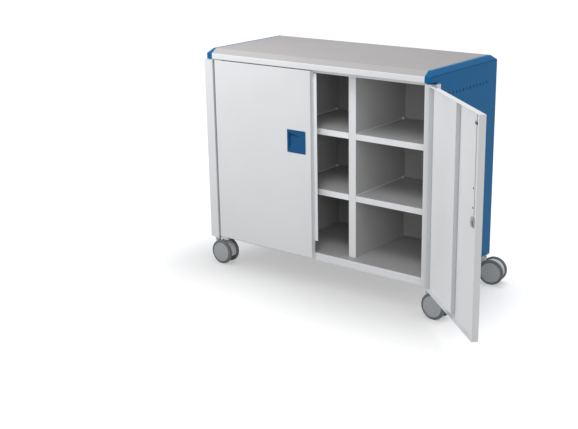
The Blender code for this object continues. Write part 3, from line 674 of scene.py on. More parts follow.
@dataclass
class Layout:
    """Where the cabinet stands in the frame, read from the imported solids."""

    middle: float
    front: float
    joints: dict[str, dict]

    @classmethod
    def read(cls, frame: dict) -> Layout:
        """Read the layout from the loaded frame.


        Returns:
            The layout.
        """
        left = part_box("left_front_post")[0]
        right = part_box("right_front_post")[1]
        return cls((left.x + right.x) / 2, left.y, {joint["name"]: joint for joint in frame["joints"]})

    def at(self, x: float, y: float, z: float) -> Vector:
        """Turn a place measured from the middle of the cabinet's front into a place in the frame."""
        return Vector((self.middle + x, self.front + y, z))

    def mirror(self) -> Matrix:
        """Give the matrix that swaps the cabinet's left and right."""
        centre = Matrix.Translation((self.middle, 0.0, 0.0))
        return centre @ Matrix.Diagonal((-1.0, 1.0, 1.0, 1.0)) @ centre.inverted()

    def right_hand_box(self, left_node: str) -> tuple[Vector, Vector]:
        """Give the box that a left door's node would have on the closed right door.

        Args:
            left_node: a node of the left door.

        Returns:
            The lowest and the highest corner.
        """
        low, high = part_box(left_node)
        width = 2 * self.middle
        return Vector((width - high.x, low.y, low.z)), Vector((width - low.x, high.y, high.z))

    def closed_box(self, node: Piece) -> tuple[Vector, Vector]:
        """Give the box that a node of the open right door has with that door closed.

        Args:
            node: a node that rides on the right door.

        Returns:
            The lowest and the highest corner.
        """
        back = self.door_place(Hand.RIGHT).inverted() @ node.matrix_world
        points = [back @ vert.co for vert in node.data.vertices]
        low = Vector(min(point[i] for point in points) for i in range(3))
        return low, Vector(max(point[i] for point in points) for i in range(3))

    def door_place(self, hand: Hand) -> Matrix:
        """Give the matrix from the closed right door to a door's place at rest.

        Args:
            hand: which door.

        Returns:
            A mirror for the left door, or a turn about the hinge for the right one.
        """
        if hand is Hand.LEFT:
            return self.mirror()
        joint = self.joints["right_door_hinge"]
        pivot = Matrix.Translation(joint["pos_m"])
        return pivot @ Matrix.Rotation(math.radians(-joint["range_deg"][0]), 4, "Z") @ pivot.inverted()


@dataclass
class Screw:
    """A pan-head screw with a driver recess, modelled once and copied to each place."""

    radius: float = 0.0038
    height: float = 0.0016
    steps: int = 20
    crown_share: float = 0.55
    rim_share: float = 0.25
    wall_share: float = 0.1
    recess_share: float = 0.4

    def build(self) -> Piece:
        """Turn one head that stands up from the origin.

        Returns:
            The head.
        """
        head = Bench.round_bar("screw", (0.0, 0.0, self.height / 2), self.radius, self.height, self.steps)
        Bench.round_folds(head, self.height * self.crown_share,
                          test=lambda edge: all(near(point.co.z, self.height) for point in edge.verts))
        with Bench.edit(head):
            Bench.pick_faces(head, lambda face: face.normal.z > FACES and len(face.verts) == self.steps)
            Bench.inset(((self.radius * self.rim_share, 0.0),
                         (self.radius * self.wall_share, -self.height * self.recess_share)))
        return head

    def drive(self, name: str, spots: Sequence[Vector], finish: Finish, body: str,
              place: Matrix | None = None) -> None:
        """Set a copy of the head at each spot, facing back, and dress the copies as one piece.

        Args:
            name: the piece's name.
            spots: where the heads sit.
            finish: their finish.
            body: the body that carries them.
            place: a move for the whole set.
        """
        head = self.build()
        turn = Facing.BACK.turn().to_matrix().to_4x4()
        heads = [Bench.copy(head, f"{name}_{i}", Matrix.Translation(spot) @ turn)
                 for i, spot in enumerate(spots)]
        Bench.remove(head)
        Bench.dress(Bench.gather(heads, name), finish, body, place=place)


@dataclass
class FoldedSheet:
    """A sheet piece of the cabinet, folded from a box with some sides left open."""

    node: str
    finish: Finish
    open_sides: tuple[Facing, ...]
    gauge: float = 0.0012
    bend: float = 0.002
    front_finish: Finish | None = None
    front_lean: float = 0.5
    body: str = "cabinet"

    def build(self) -> None:
        """Fold the sheet in its node's place and dress it."""
        item = Bench.block(self.node + "_sheet", *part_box(self.node))
        Bench.open_sides(item, self.open_sides)
        Bench.round_folds(item, self.bend)
        Bench.thicken(item, self.gauge)
        # Faces turned to the front keep the front finish; the rest take the main finish, which inside the
        # cabinet is the interior grey of painted shade.
        if self.front_finish is not None:
            Bench.paint(item, self.finish, self.front_finish,
                        lambda face: face.normal.y < -self.front_lean)
        Bench.dress(item, self.finish, self.body, (self.node,))


@dataclass
class Carcass:
    """The fixed body: worktop, end panels, posts, floor, backs, dividers and shelves."""

    panel_gauge: float = 0.0015
    sheet_gauge: float = 0.0012
    panel_bend: float = 0.0025
    post_bend: float = 0.003
    header_lip: float = 0.024
    bevel_depth: float = 0.029
    bevel_height: float = 0.0209
    ridge_flat: float = 0.014
    grey_lean: float = 0.4
    notch_gap: float = 0.0003
    seam_flange: float = 0.012
    seam_width: float = 0.0018
    vent_count: int = 14
    vent_pitch: float = 0.0275
    vent_width: float = 0.006
    vent_length: float = 0.012
    vent_round_share: float = 0.49
    vent_drop: float = 0.1067
    dark_sheet_gap: float = 0.0004
    dark_sheet_depth: float = 0.006
    rail_start: float = 0.006
    rail_height: float = 0.003
    clip_size: tuple[float, float, float] = (0.010, 0.014, 0.010)
    clip_setback: float = 0.012
    screw_height: float = 0.0012
    screw_inset: float = 0.014
    screw_rows: int = 5
    screw_columns: int = 6
    body: str = "cabinet"

    def build(self) -> None:
        """Build every fixed piece."""
        self.build_worktop()
        for hand in Hand:
            name = hand.value
            self.build_end_panel(hand)
            FoldedSheet(f"{name}_front_post", WHITE_PAINT, (Facing.BELOW, Facing.ABOVE), self.panel_gauge,
                        self.post_bend).build()
            # Liners, dividers, deck and shelves are grey inside as painted shade, with white front faces.
            FoldedSheet(f"{name}_side_liner", INTERIOR_PAINTED_SHADE, (hand.facing(), Facing.BELOW)).build()
            FoldedSheet(f"{name}_divider", INTERIOR_PAINTED_SHADE, (Facing.BACK, Facing.BELOW, Facing.ABOVE),
                        front_finish=WHITE_PAINT).build()
        FoldedSheet("top_rail", WHITE_PAINT, (Facing.LEFT, Facing.RIGHT, Facing.BACK),
                    self.panel_gauge).build()
        FoldedSheet("deck_pan", INTERIOR_PAINTED_SHADE, (Facing.BELOW,), self.panel_gauge,
                    front_finish=WHITE_PAINT).build()
        FoldedSheet("back_liner", INTERIOR_PAINTED_SHADE, (Facing.BACK,)).build()
        FoldedSheet("back_panel", WHITE_PAINT, (Facing.FRONT,)).build()
        for column in ("left", "middle", "right"):
            for level in ("lower", "upper"):
                shelf = f"{column}_{level}_shelf"
                FoldedSheet(shelf, INTERIOR_PAINTED_SHADE, (Facing.BELOW,), front_finish=WHITE_PAINT).build()
                self.build_shelf_rests(shelf)
        self.build_back_screws()

    def build_worktop(self) -> None:
        """Fold the worktop along its section: lip, header, bevel, flat, bevel and back edge."""
        low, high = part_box("worktop")
        crease = high.z - self.bevel_height
        section = [(low.y, low.z), (low.y, crease), (low.y + self.bevel_depth, high.z),
                   (high.y - self.bevel_depth, high.z), (high.y, crease), (high.y, low.z)]
        top = Bench.block("worktop_sheet", low,
                          (high.x, low.y + self.header_lip, low.z + self.panel_gauge))
        with Bench.edit(top):
            Bench.pick_faces(top, lambda face: face.normal.z > -FACES)
            bpy.ops.mesh.delete(type="ONLY_FACE")
            Bench.pick_points(top, lambda point: not point.link_faces)
            bpy.ops.mesh.delete(type="VERT")
            for start, end in zip(section, section[1:]):
                Bench.pick_rims(top, lambda spot: near(spot.y, start[0]) and near(spot.z, start[1]))
                Bench.extrude((0.0, end[0] - start[0], end[1] - start[1]))
            Bench.align_faces()
        Bench.round_folds(top, self.panel_bend)
        Bench.face_out(top, lambda face: face.center.z, Facing.ABOVE)
        Bench.thicken(top, self.panel_gauge)
        Bench.paint(top, WHITE_PAINT, GREY_PAINT,
                    lambda face: face.normal.z > self.grey_lean and face.center.z > crease)
        Bench.dress(top, GREY_PAINT, self.body, ("worktop",))

    def build_end_panel(self, hand: Hand) -> None:
        """Make an end panel with its vents, a near-black sheet behind them and a dark strip along its
        crease, both painted shade.

        Args:
            hand: which end of the cabinet.
        """
        node = f"{hand.value}_end_panel"
        low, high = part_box(node)
        outer = low.x if hand is Hand.LEFT else high.x
        row = (outer, (low.y + high.y) / 2, high.z - self.vent_drop)
        panel = self.fold_end_panel(hand, node)
        Bench.combine(panel, self.vent_cutter(row), Join.CUT)
        Bench.dress(panel, BLUE_PAINT, self.body, (node,))
        self.build_vent_foam(hand, row)
        # A dark blue strip along the crease between the hip and the side: painted shade of the seam.
        crease = high.z - self.bevel_height
        half = Vector((self.seam_width / 4, 0.0, self.seam_width / 2))
        front = Vector((outer, low.y + self.panel_bend, crease))
        back = Vector((outer, high.y - self.panel_bend, crease))
        shade_strip = Bench.block(f"{hand.value}_seam_bead", front - half, back + half)
        Bench.soften(shade_strip, self.seam_width / 6)
        Bench.dress(shade_strip, BLUE_SEAM_PAINTED_SHADE, self.body)

    def fold_end_panel(self, hand: Hand, node: str) -> Piece:
        """Cut an end panel's block to its hipped top and its notch, open its inner side and fold it.

        Args:
            hand: which end of the cabinet.
            node: the end panel's node.

        Returns:
            The panel without its vents.
        """
        low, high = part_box(node)
        out = hand.sign()
        inner, outer = (low.x, high.x) if hand is Hand.RIGHT else (high.x, low.x)
        crease = high.z - self.bevel_height
        panel = Bench.block(node + "_sheet", low, high)
        with Bench.edit(panel):
            Bench.slice_off((outer, 0.0, crease),
                            (out * self.bevel_height, 0.0, abs(outer - inner) - self.ridge_flat))
            for edge, way in ((low.y, -1), (high.y, 1)):
                Bench.slice_off((0.0, edge, crease), (0.0, way * self.bevel_height, self.bevel_depth))
        margin = self.bevel_depth
        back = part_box(f"{hand.value}_front_post")[1].y + self.notch_gap
        notch = Bench.block("notch", (low.x - margin, low.y - margin, low.z - margin),
                            (high.x + margin, back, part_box("worktop")[0].z))
        Bench.combine(panel, notch, Join.CUT)
        with Bench.edit(panel):
            Bench.pick_faces(panel, lambda face: face.normal.x * out < -FACES)
            bpy.ops.mesh.delete(type="FACE")
            Bench.pick_rims(panel, lambda spot: near(spot.z, high.z) and near(spot.x, inner))
            Bench.extrude((0.0, 0.0, -self.seam_flange))
            Bench.align_faces()
        Bench.round_folds(panel, self.panel_bend)
        Bench.face_out(panel, lambda face: face.area, hand.facing())
        Bench.thicken(panel, self.panel_gauge)
        return panel

    def vent_cutter(self, row: Spot) -> Piece:
        """Make the row of slots that pierces an end panel.

        Args:
            row: the middle of the row, on the panel's outer face.

        Returns:
            One object with every slot.
        """
        half = Vector((3 * self.panel_gauge, self.vent_width / 2, self.vent_length / 2))
        x, y, z = row
        first = Vector((x, y - self.vent_pitch * (self.vent_count - 1) / 2, z))
        slot = Bench.block("vent", first - half, first + half)
        Bench.round_folds(slot, self.vent_width * self.vent_round_share, ROUND_STEPS,
                          lambda edge: not near(edge.verts[0].co.x, edge.verts[1].co.x))
        others = [Bench.copy(slot, f"vent_{i}", Matrix.Translation((0.0, self.vent_pitch * i, 0.0)))
                  for i in range(1, self.vent_count)]
        return Bench.gather([slot, *others], "vents")

    def build_vent_foam(self, hand: Hand, row: Spot) -> None:
        """Set a near-black sheet behind a row of vents: painted shade seen through the slots.

        Args:
            hand: which end of the cabinet.
            row: the middle of the row, on the panel's outer face.
        """
        run = self.vent_pitch * (self.vent_count + 1)
        x, y, z = row
        face = x - hand.sign() * (self.panel_gauge + self.dark_sheet_gap)
        near_side, far_side = sorted((face, face - hand.sign() * self.dark_sheet_depth))
        # A near-black sheet behind the slots, painted shade that makes the vents read dark.
        dark_sheet = Bench.block(f"{hand.value}_vent_foam", (near_side, y - run / 2, z - self.vent_length),
                           (far_side, y + run / 2, z + self.vent_length))
        Bench.soften(dark_sheet, self.panel_gauge)
        Bench.dress(dark_sheet, VENT_PAINTED_SHADE, self.body)

    def build_shelf_rests(self, shelf: str) -> None:
        """Add the two rails that hold a shelf to its walls, and the clips at its back corners.

        Args:
            shelf: the shelf's node.
        """
        low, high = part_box(shelf)
        width, depth, height = self.clip_size
        end = high.y - self.clip_setback
        pieces = []
        for edge, inward in ((low.x, 1), (high.x, -1)):
            start, stop = sorted((edge, edge + inward * self.sheet_gauge))
            rail = Bench.block("rail", (start, low.y + self.rail_start, high.z),
                               (stop, high.y, high.z + self.rail_height))
            Bench.soften(rail, self.sheet_gauge / 4)
            start, stop = sorted((edge, edge + inward * width))
            clip = Bench.block("clip", (start, end - depth, high.z), (stop, end, high.z + height))
            Bench.soften(clip, self.sheet_gauge)
            pieces += [rail, clip]
        Bench.dress(Bench.gather(pieces, shelf + "_rests"), WHITE_PAINT, self.body)

    def build_back_screws(self) -> None:
        """Drive the screws around the edge of the back panel."""
        low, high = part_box("back_panel")
        rows = self.spaced(low.z, high.z, self.screw_rows)
        columns = self.spaced(low.x, high.x, self.screw_columns)
        spots = [Vector((x, high.y - self.sheet_gauge / 4, z)) for x in columns for z in rows
                 if x in (columns[0], columns[-1]) or z in (rows[0], rows[-1])]
        Screw(height=self.screw_height).drive("back_panel_screws", spots, ZINC_PLATE, self.body)

    def spaced(self, start: float, end: float, count: int) -> list[float]:
        """Space screws evenly between two edges, each end one inset away."""
        run = end - start - 2 * self.screw_inset
        return [start + self.screw_inset + run * i / (count - 1) for i in range(count)]


@dataclass
class Door:
    """A door: folded pan, stiffener and pull handle."""

    layout: Layout
    hand: Hand
    gauge: float = 0.0012
    bend: float = 0.0018
    lip: float = 0.010
    plate_gauge: float = 0.0015
    handle_corner: float = 0.002
    handle_margin: float = 0.005
    handle_round: float = 0.0006
    cup_sink: float = 0.0008
    scoop_margin: float = 0.002
    scoop_run: float = 0.066
    scoop_floor: float = 0.046
    scoop_mouth: float = 0.083
    scoop_depth: float = 0.007
    scoop_ramp: float = 0.0035
    scoop_proud: float = 0.002
    run_out_share: float = 0.98
    # Normal heights of the scoop faces that take the painted shade.
    painted_shade_slopes: tuple[float, float] = (-0.98, -0.2)
    fixing_spread: float = 0.072
    fixing_inset: float = 0.049

    def build(self) -> None:
        """Build the door's pieces as a closed right door, each set in place as it is dressed."""
        self.build_pan()
        self.build_stiffener()
        self.build_handle()
        self.build_handle_screws()

    def dress(self, item: Piece, finish: Finish, node: str) -> None:
        """Move a finished piece to the door's place at rest and dress it."""
        Bench.dress(item, finish, f"{self.hand.value}_door", (node,), self.layout.door_place(self.hand))

    def build_pan(self) -> None:
        """Fold the door pan, with a lip along its free edge and a hole for the handle."""
        low, high = self.layout.right_hand_box("left_door_pan")
        node = f"{self.hand.value}_door_pan"
        pan = Bench.block(node + "_sheet", low, high)
        Bench.open_sides(pan, (Facing.BACK,))
        with Bench.edit(pan):
            Bench.pick_rims(pan, lambda spot: near(spot.x, low.x) and near(spot.y, high.y))
            Bench.extrude((self.lip, 0.0, 0.0))
            for level, step in ((low.z, self.lip), (high.z, -self.lip)):
                Bench.pick_points(pan, lambda point: near(point.co.x, low.x + self.lip)
                                  and near(point.co.z, level))
                Bench.shift((0.0, 0.0, step))
        Bench.round_folds(pan, self.bend)
        Bench.thicken(pan, self.gauge)
        hole_low, hole_high = self.layout.right_hand_box("left_door_handle")
        inset = Vector((self.handle_margin, 0.0, self.handle_margin))
        reach = Vector((0.0, self.gauge, 0.0))
        hole = Bench.block("handle_hole", hole_low + inset - reach,
                           Vector((hole_high.x, low.y, hole_high.z)) - inset + 2 * reach)
        Bench.combine(pan, hole, Join.CUT)
        self.dress(pan, WHITE_PAINT, node)

    def build_stiffener(self) -> None:
        """Fold the hat channel inside the door."""
        node = f"{self.hand.value}_door_stiffener"
        channel = Bench.block(node + "_sheet", *self.layout.right_hand_box("left_door_stiffener"))
        Bench.open_sides(channel, (Facing.FRONT, Facing.BELOW, Facing.ABOVE))
        Bench.round_folds(channel, self.bend)
        Bench.thicken(channel, self.gauge)
        self.dress(channel, WHITE_PAINT, node)

    def build_handle(self) -> None:
        """Mould the pull handle: a plate and cup with a scoop that runs out towards the free edge."""
        node = f"{self.hand.value}_door_handle"
        low, high = self.layout.right_hand_box("left_door_handle")
        plate = Bench.block(node + "_moulding", low, (high.x, low.y + self.plate_gauge, high.z))
        Bench.round_folds(plate, self.handle_corner, ROUND_STEPS,
                          lambda edge: not near(edge.verts[0].co.y, edge.verts[1].co.y))
        inset = Vector((self.handle_margin, 0.0, self.handle_margin))
        cup = Bench.block("cup", low + inset + Vector((0.0, self.cup_sink, 0.0)), high - inset)
        Bench.combine(plate, cup, Join.ADD)
        Bench.combine(plate, self.scoop(low, high), Join.CUT)
        Bench.soften(plate, self.handle_round)
        foot, top = low.z + 2 * self.handle_margin, high.z - 2 * self.handle_margin
        # The scoop's downward-facing top wall takes the darker blue: painted shade cast by the upper lip.
        steep, slight = self.painted_shade_slopes
        Bench.paint(plate, BLUE_MOULDING, BLUE_PAINTED_SHADE, lambda face: foot < face.center.z < top
                    and steep < face.normal.z < slight and face.normal.y < 0)
        self.dress(plate, BLUE_MOULDING, node)

    def scoop(self, low: Vector, high: Vector) -> Piece:
        """Make the wedge that hollows the handle.

        Args:
            low: the handle's lowest corner.
            high: its highest corner.

        Returns:
            The wedge.
        """
        deep = high.x - self.handle_margin - self.scoop_margin
        shallow = deep - self.scoop_run
        face = low.y
        middle = (low.z + high.z) / 2
        half = self.scoop_mouth / 2
        wedge = Bench.block("scoop", (shallow, face - self.scoop_proud, middle - half),
                            (deep, face + self.scoop_depth, middle + half))
        narrow = (self.scoop_mouth - self.scoop_floor) / 2
        slope = self.scoop_depth / self.scoop_run
        with Bench.edit(wedge):
            for side in (-1, 1):
                level = middle + side * half
                Bench.pick_points(wedge, lambda point: near(point.co.z, level)
                                  and (point.co.y > face or near(point.co.x, shallow)))
                Bench.shift((0.0, 0.0, -side * narrow))
            Bench.pick_points(wedge, lambda point: near(point.co.x, deep) and point.co.y > face)
            Bench.shift((-self.scoop_ramp, 0.0, 0.0))
            Bench.pick_points(wedge, lambda point: near(point.co.x, shallow))
            Bench.shift((-self.scoop_proud / slope, 0.0, 0.0))
            Bench.pick_points(wedge, lambda point: point.co.x < shallow and point.co.y > face)
            Bench.shift((0.0, -self.scoop_depth - self.scoop_proud * self.run_out_share, 0.0))
        return wedge

    def build_handle_screws(self) -> None:
        """Drive the two screws that hold the handle, seen inside the door."""
        low, high = self.layout.right_hand_box("left_door_handle")
        face = self.layout.right_hand_box("left_door_liner")[1].y
        middle = (low.z + high.z) / 2
        spots = [Vector((low.x + self.fixing_inset, face, middle + side * self.fixing_spread / 2))
                 for side in (-1, 1)]
        name = self.hand.value
        Screw().drive(f"{name}_handle_screws", spots, DARK_STEEL, f"{name}_door",
                      self.layout.door_place(self.hand))


@dataclass
class Lock:
    """The lock's visible trim inside the right door."""

    layout: Layout
    strap_reach: float = 0.016
    strap_height: float = 0.008
    strap_gauge: float = 0.0012
    screw_inset: float = 0.006
    screw_radius: float = 0.0024
    screw_height: float = 0.001

    def build(self, nodes: dict[str, Piece]) -> None:
        """Bend the strap that holds the rod's guide to the door, and drive its screws.

        Args:
            nodes: the frame's nodes by name.
        """
        low, high = self.layout.closed_box(nodes["lock_rod_guide"])
        face = self.layout.right_hand_box("left_door_liner")[1].y
        middle = (low.z + high.z) / 2
        foot, top = middle - self.strap_height / 2, middle + self.strap_height / 2
        crown = Bench.block("rod_strap", (low.x - self.strap_gauge, face, foot),
                            (high.x + self.strap_gauge, high.y + self.strap_gauge, top))
        hollow = Bench.block("hollow", (low.x, face - self.strap_gauge, foot - self.strap_height),
                             (high.x, high.y, top + self.strap_height))
        Bench.combine(crown, hollow, Join.CUT)
        ends = low.x - self.strap_reach, high.x + self.strap_reach
        for inner, outer in zip((low.x, high.x), ends):
            start, stop = sorted((inner, outer))
            ear = Bench.block("ear", (start, face, foot), (stop, face + self.strap_gauge, top))
            Bench.combine(crown, ear, Join.ADD)
        Bench.soften(crown, self.strap_gauge / 3)
        place = self.layout.door_place(Hand.RIGHT)
        Bench.dress(crown, DARK_STEEL, "right_door", place=place)
        spots = [Vector((x, face + self.strap_gauge, middle))
                 for x in (ends[0] + self.screw_inset, ends[1] - self.screw_inset)]
        screw = Screw(self.screw_radius, self.screw_height)
        screw.drive("rod_strap_screws", spots, ZINC_PLATE, "right_door", place)


@dataclass
class Caster:
    """A twin-wheel caster: moulded hood, stem and two wheels with covers."""

    layout: Layout
    place: str
    wheel_width: float = 0.0185
    wheel_steps: int = 72
    wall_setback: float = 0.0045
    wall_margin: float = 0.002
    wall_steps: tuple[tuple[float, float], ...] = ((0.0008, -0.0012), (0.012, -0.0005))
    tread_round: float = 0.004
    cover_radius: float = 0.0457
    cover_drop: float = 0.0014
    cover_depth: float = 0.0064
    cover_round: float = 0.0024
    cover_steps: tuple[tuple[float, float], ...] = (
        (0.0020, 0.0), (0.0010, -0.0006), (0.0060, 0.0006),
        (0.0080, 0.0004), (0.0100, 0.0002), (0.0020, 0.0))
    hood_radius: float = 0.050
    hood_foot: float = 0.017
    hood_round: float = 0.0022
    hood_steps: int = 56
    side_gap: float = 0.001
    collar_radius: float = 0.0128
    collar_gap: float = 0.0072
    collar_foot: float = 0.070
    stem_radius: float = 0.0085
    stem_length: float = 0.030
    stem_sink: float = 0.002
    stem_round: float = 0.001
    stem_steps: int = 40

    def build(self) -> None:
        """Build the caster about its own axes and set its pieces in place."""
        joint = self.layout.joints[f"{self.place}_inner_roll"]
        centre = Vector(joint["pos_m"])
        axle = Vector(joint["axis"]).normalized()
        stem = Vector(self.layout.joints[f"{self.place}_swivel"]["pos_m"])
        span = self.overall_width(axle)
        seat = Matrix.Translation(centre) @ Matrix.Rotation(math.atan2(-axle.x, axle.y), 4, "Z")
        self.build_wheel("inner", span, centre.z, seat)
        self.build_wheel("outer", span, centre.z, seat @ Matrix.Diagonal((1.0, -1.0, 1.0, 1.0)))
        self.build_hood(span, stem - centre, centre.z, seat)

    def overall_width(self, axle: Vector) -> float:
        """Give the width over both wheels, from the wheels' solids.

        Args:
            axle: the axle's direction.

        Returns:
            The width along the axle.
        """
        reach = [vert.co.dot(axle) for side in ("inner", "outer")
                 for vert in bpy.data.objects[f"{self.place}_{side}_wheel"].data.vertices]
        return max(reach) - min(reach)

    def build_wheel(self, name: str, span: float, radius: float, seat: Matrix) -> None:
        """Turn one wheel: a tyre with a stepped wall, and the cover that closes it.

        Args:
            name: which of the two wheels.
            span: the width over both wheels.
            radius: the wheel's radius.
            seat: the move from the caster's own axes, mirrored for the outer wheel.
        """
        node = f"{self.place}_{name}_wheel"
        middle = span / 2 - self.wheel_width / 2 - self.wall_setback / 2
        width = self.wheel_width - self.wall_setback
        tyre = Bench.round_bar(node + "_tyre", (0.0, middle, 0.0), radius, width, self.wheel_steps,
                               Facing.BACK)
        Bench.round_folds(tyre, self.tread_round, ROUND_STEPS)
        wall = radius - self.tread_round - self.cover_radius - self.wall_margin
        self.step_end(tyre, ((wall, 0.0), *self.wall_steps))
        rim = span / 2 - self.cover_drop
        cover = Bench.round_bar(node + "_cover", (0.0, rim - self.cover_depth / 2, 0.0), self.cover_radius,
                                self.cover_depth, self.wheel_steps, Facing.BACK)
        Bench.round_folds(cover, self.cover_round, ROUND_STEPS, lambda edge: near(edge.verts[0].co.y, rim))
        self.step_end(cover, self.cover_steps)
        Bench.dress(tyre, SOFT_TREAD, node, (node,), seat)
        Bench.dress(cover, GREY_NYLON, node, place=seat)

    def step_end(self, item: Piece, steps: Sequence[tuple[float, float]]) -> None:
        """Step the outer end of a turned piece inwards.

        Args:
            item: the piece.
            steps: each step's width and rise.
        """
        with Bench.edit(item):
            Bench.pick_faces(item, lambda face: face.normal.y > FACES
                             and len(face.verts) == self.wheel_steps)
            Bench.inset(steps)

    def build_hood(self, span: float, stem: Vector, height: float, seat: Matrix) -> None:
        """Mould the hood between the wheels, its collar and the stem that turns in the cabinet.

        Args:
            span: the width over both wheels.
            stem: the swivel's place, from the axle's middle.
            height: the axle's height above the floor.
            seat: the move from the caster's own axes.
        """
        node = f"{self.place}_caster_hood"
        body = f"{self.place}_caster"
        width = span - 2 * (self.wheel_width + self.side_gap)
        hood = Bench.round_bar(node + "_moulding", (0.0, 0.0, 0.0), self.hood_radius, width, self.hood_steps,
                               Facing.BACK)
        with Bench.edit(hood):
            Bench.slice_off((0.0, 0.0, -self.hood_foot), Facing.BELOW.value)
        trail = stem.xy.length
        top = stem.z - self.collar_gap
        foot = self.collar_foot - height
        collar = Bench.round_bar("collar", (-trail, 0.0, (top + foot) / 2), self.collar_radius, top - foot,
                                 self.stem_steps)
        Bench.combine(hood, collar, Join.ADD)
        Bench.soften(hood, self.hood_round, BEND_STEPS)
        # One moulding in two tones by how light falls: the hood, shaded between the wheels, takes the paler
        # nylon as painted light; the collar, in full light, the grey nylon.
        Bench.paint(hood, PALE_NYLON_PAINTED_LIGHT, GREY_NYLON, lambda face: face.center.z > self.hood_radius)
        Bench.dress(hood, PALE_NYLON_PAINTED_LIGHT, body, (node,), seat)
        middle = top + self.stem_length / 2 - self.stem_sink
        shaft = Bench.round_bar(f"{self.place}_stem", (-trail, 0.0, middle), self.stem_radius,
                                self.stem_length, self.stem_steps)
        Bench.soften(shaft, self.stem_round)
        Bench.dress(shaft, ZINC_PLATE, body, place=seat)


@dataclass
class Hardware:
    """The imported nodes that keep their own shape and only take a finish."""

    finishes: tuple[tuple[Finish, tuple[str, ...]], ...] = (
        (ZINC_PLATE, ("upper_hinge_arm", "lower_hinge_arm", "upper_pivot_block", "caster_socket", "axle",
                      "lock_body", "lock_cam", "lock_rod", "lock_rod_guide")),
        (WHITE_PAINT, ("door_liner", "astragal")),
    )

    def dress(self, nodes: dict[str, Piece]) -> None:
        """Give each node that ends in a listed name its finish.

        Args:
            nodes: the frame's nodes by name.
        """
        for finish, endings in self.finishes:
            for name, node in nodes.items():
                if name.endswith(endings):
                    node.data.materials.clear()
                    node.data.materials.append(finish.material())
                    LOG.info("%s: packed shape, %s", name, finish.name)


@dataclass(frozen=True)
class Lamp:
    """A soft lamp, placed and aimed from the middle of the cabinet's front."""

    name: str
    place: tuple[float, float, float]
    aim: tuple[float, float, float]
    size: tuple[float, float]
    power: float
    reach: Reach

    def hang(self, layout: Layout, group: Sequence[Piece]) -> None:
        """Hang the lamp and limit what it lights.

        Args:
            layout: where the cabinet stands.
            group: the pieces that its reach names.
        """
        data = bpy.data.lights.new(self.name, "AREA")
        data.shape = "RECTANGLE"
        data.size, data.size_y = self.size
        data.energy = self.power
        lamp = bpy.data.objects.new(self.name, data)
        lamp.visible_camera = False
        start, end = layout.at(*self.place), layout.at(*self.aim)
        turn = (end - start).to_track_quat("-Z", "Y").to_matrix().to_4x4()
        lamp.matrix_world = Matrix.Translation(start) @ turn
        bpy.context.scene.collection.objects.link(lamp)
        linked = bpy.data.collections.new(f"{self.name}_{self.reach.value}")
        for piece in group:
            linked.objects.link(piece)
        for entry in linked.collection_objects:
            entry.light_linking.link_state = self.reach.state()
        lamp.light_linking.receiver_collection = linked


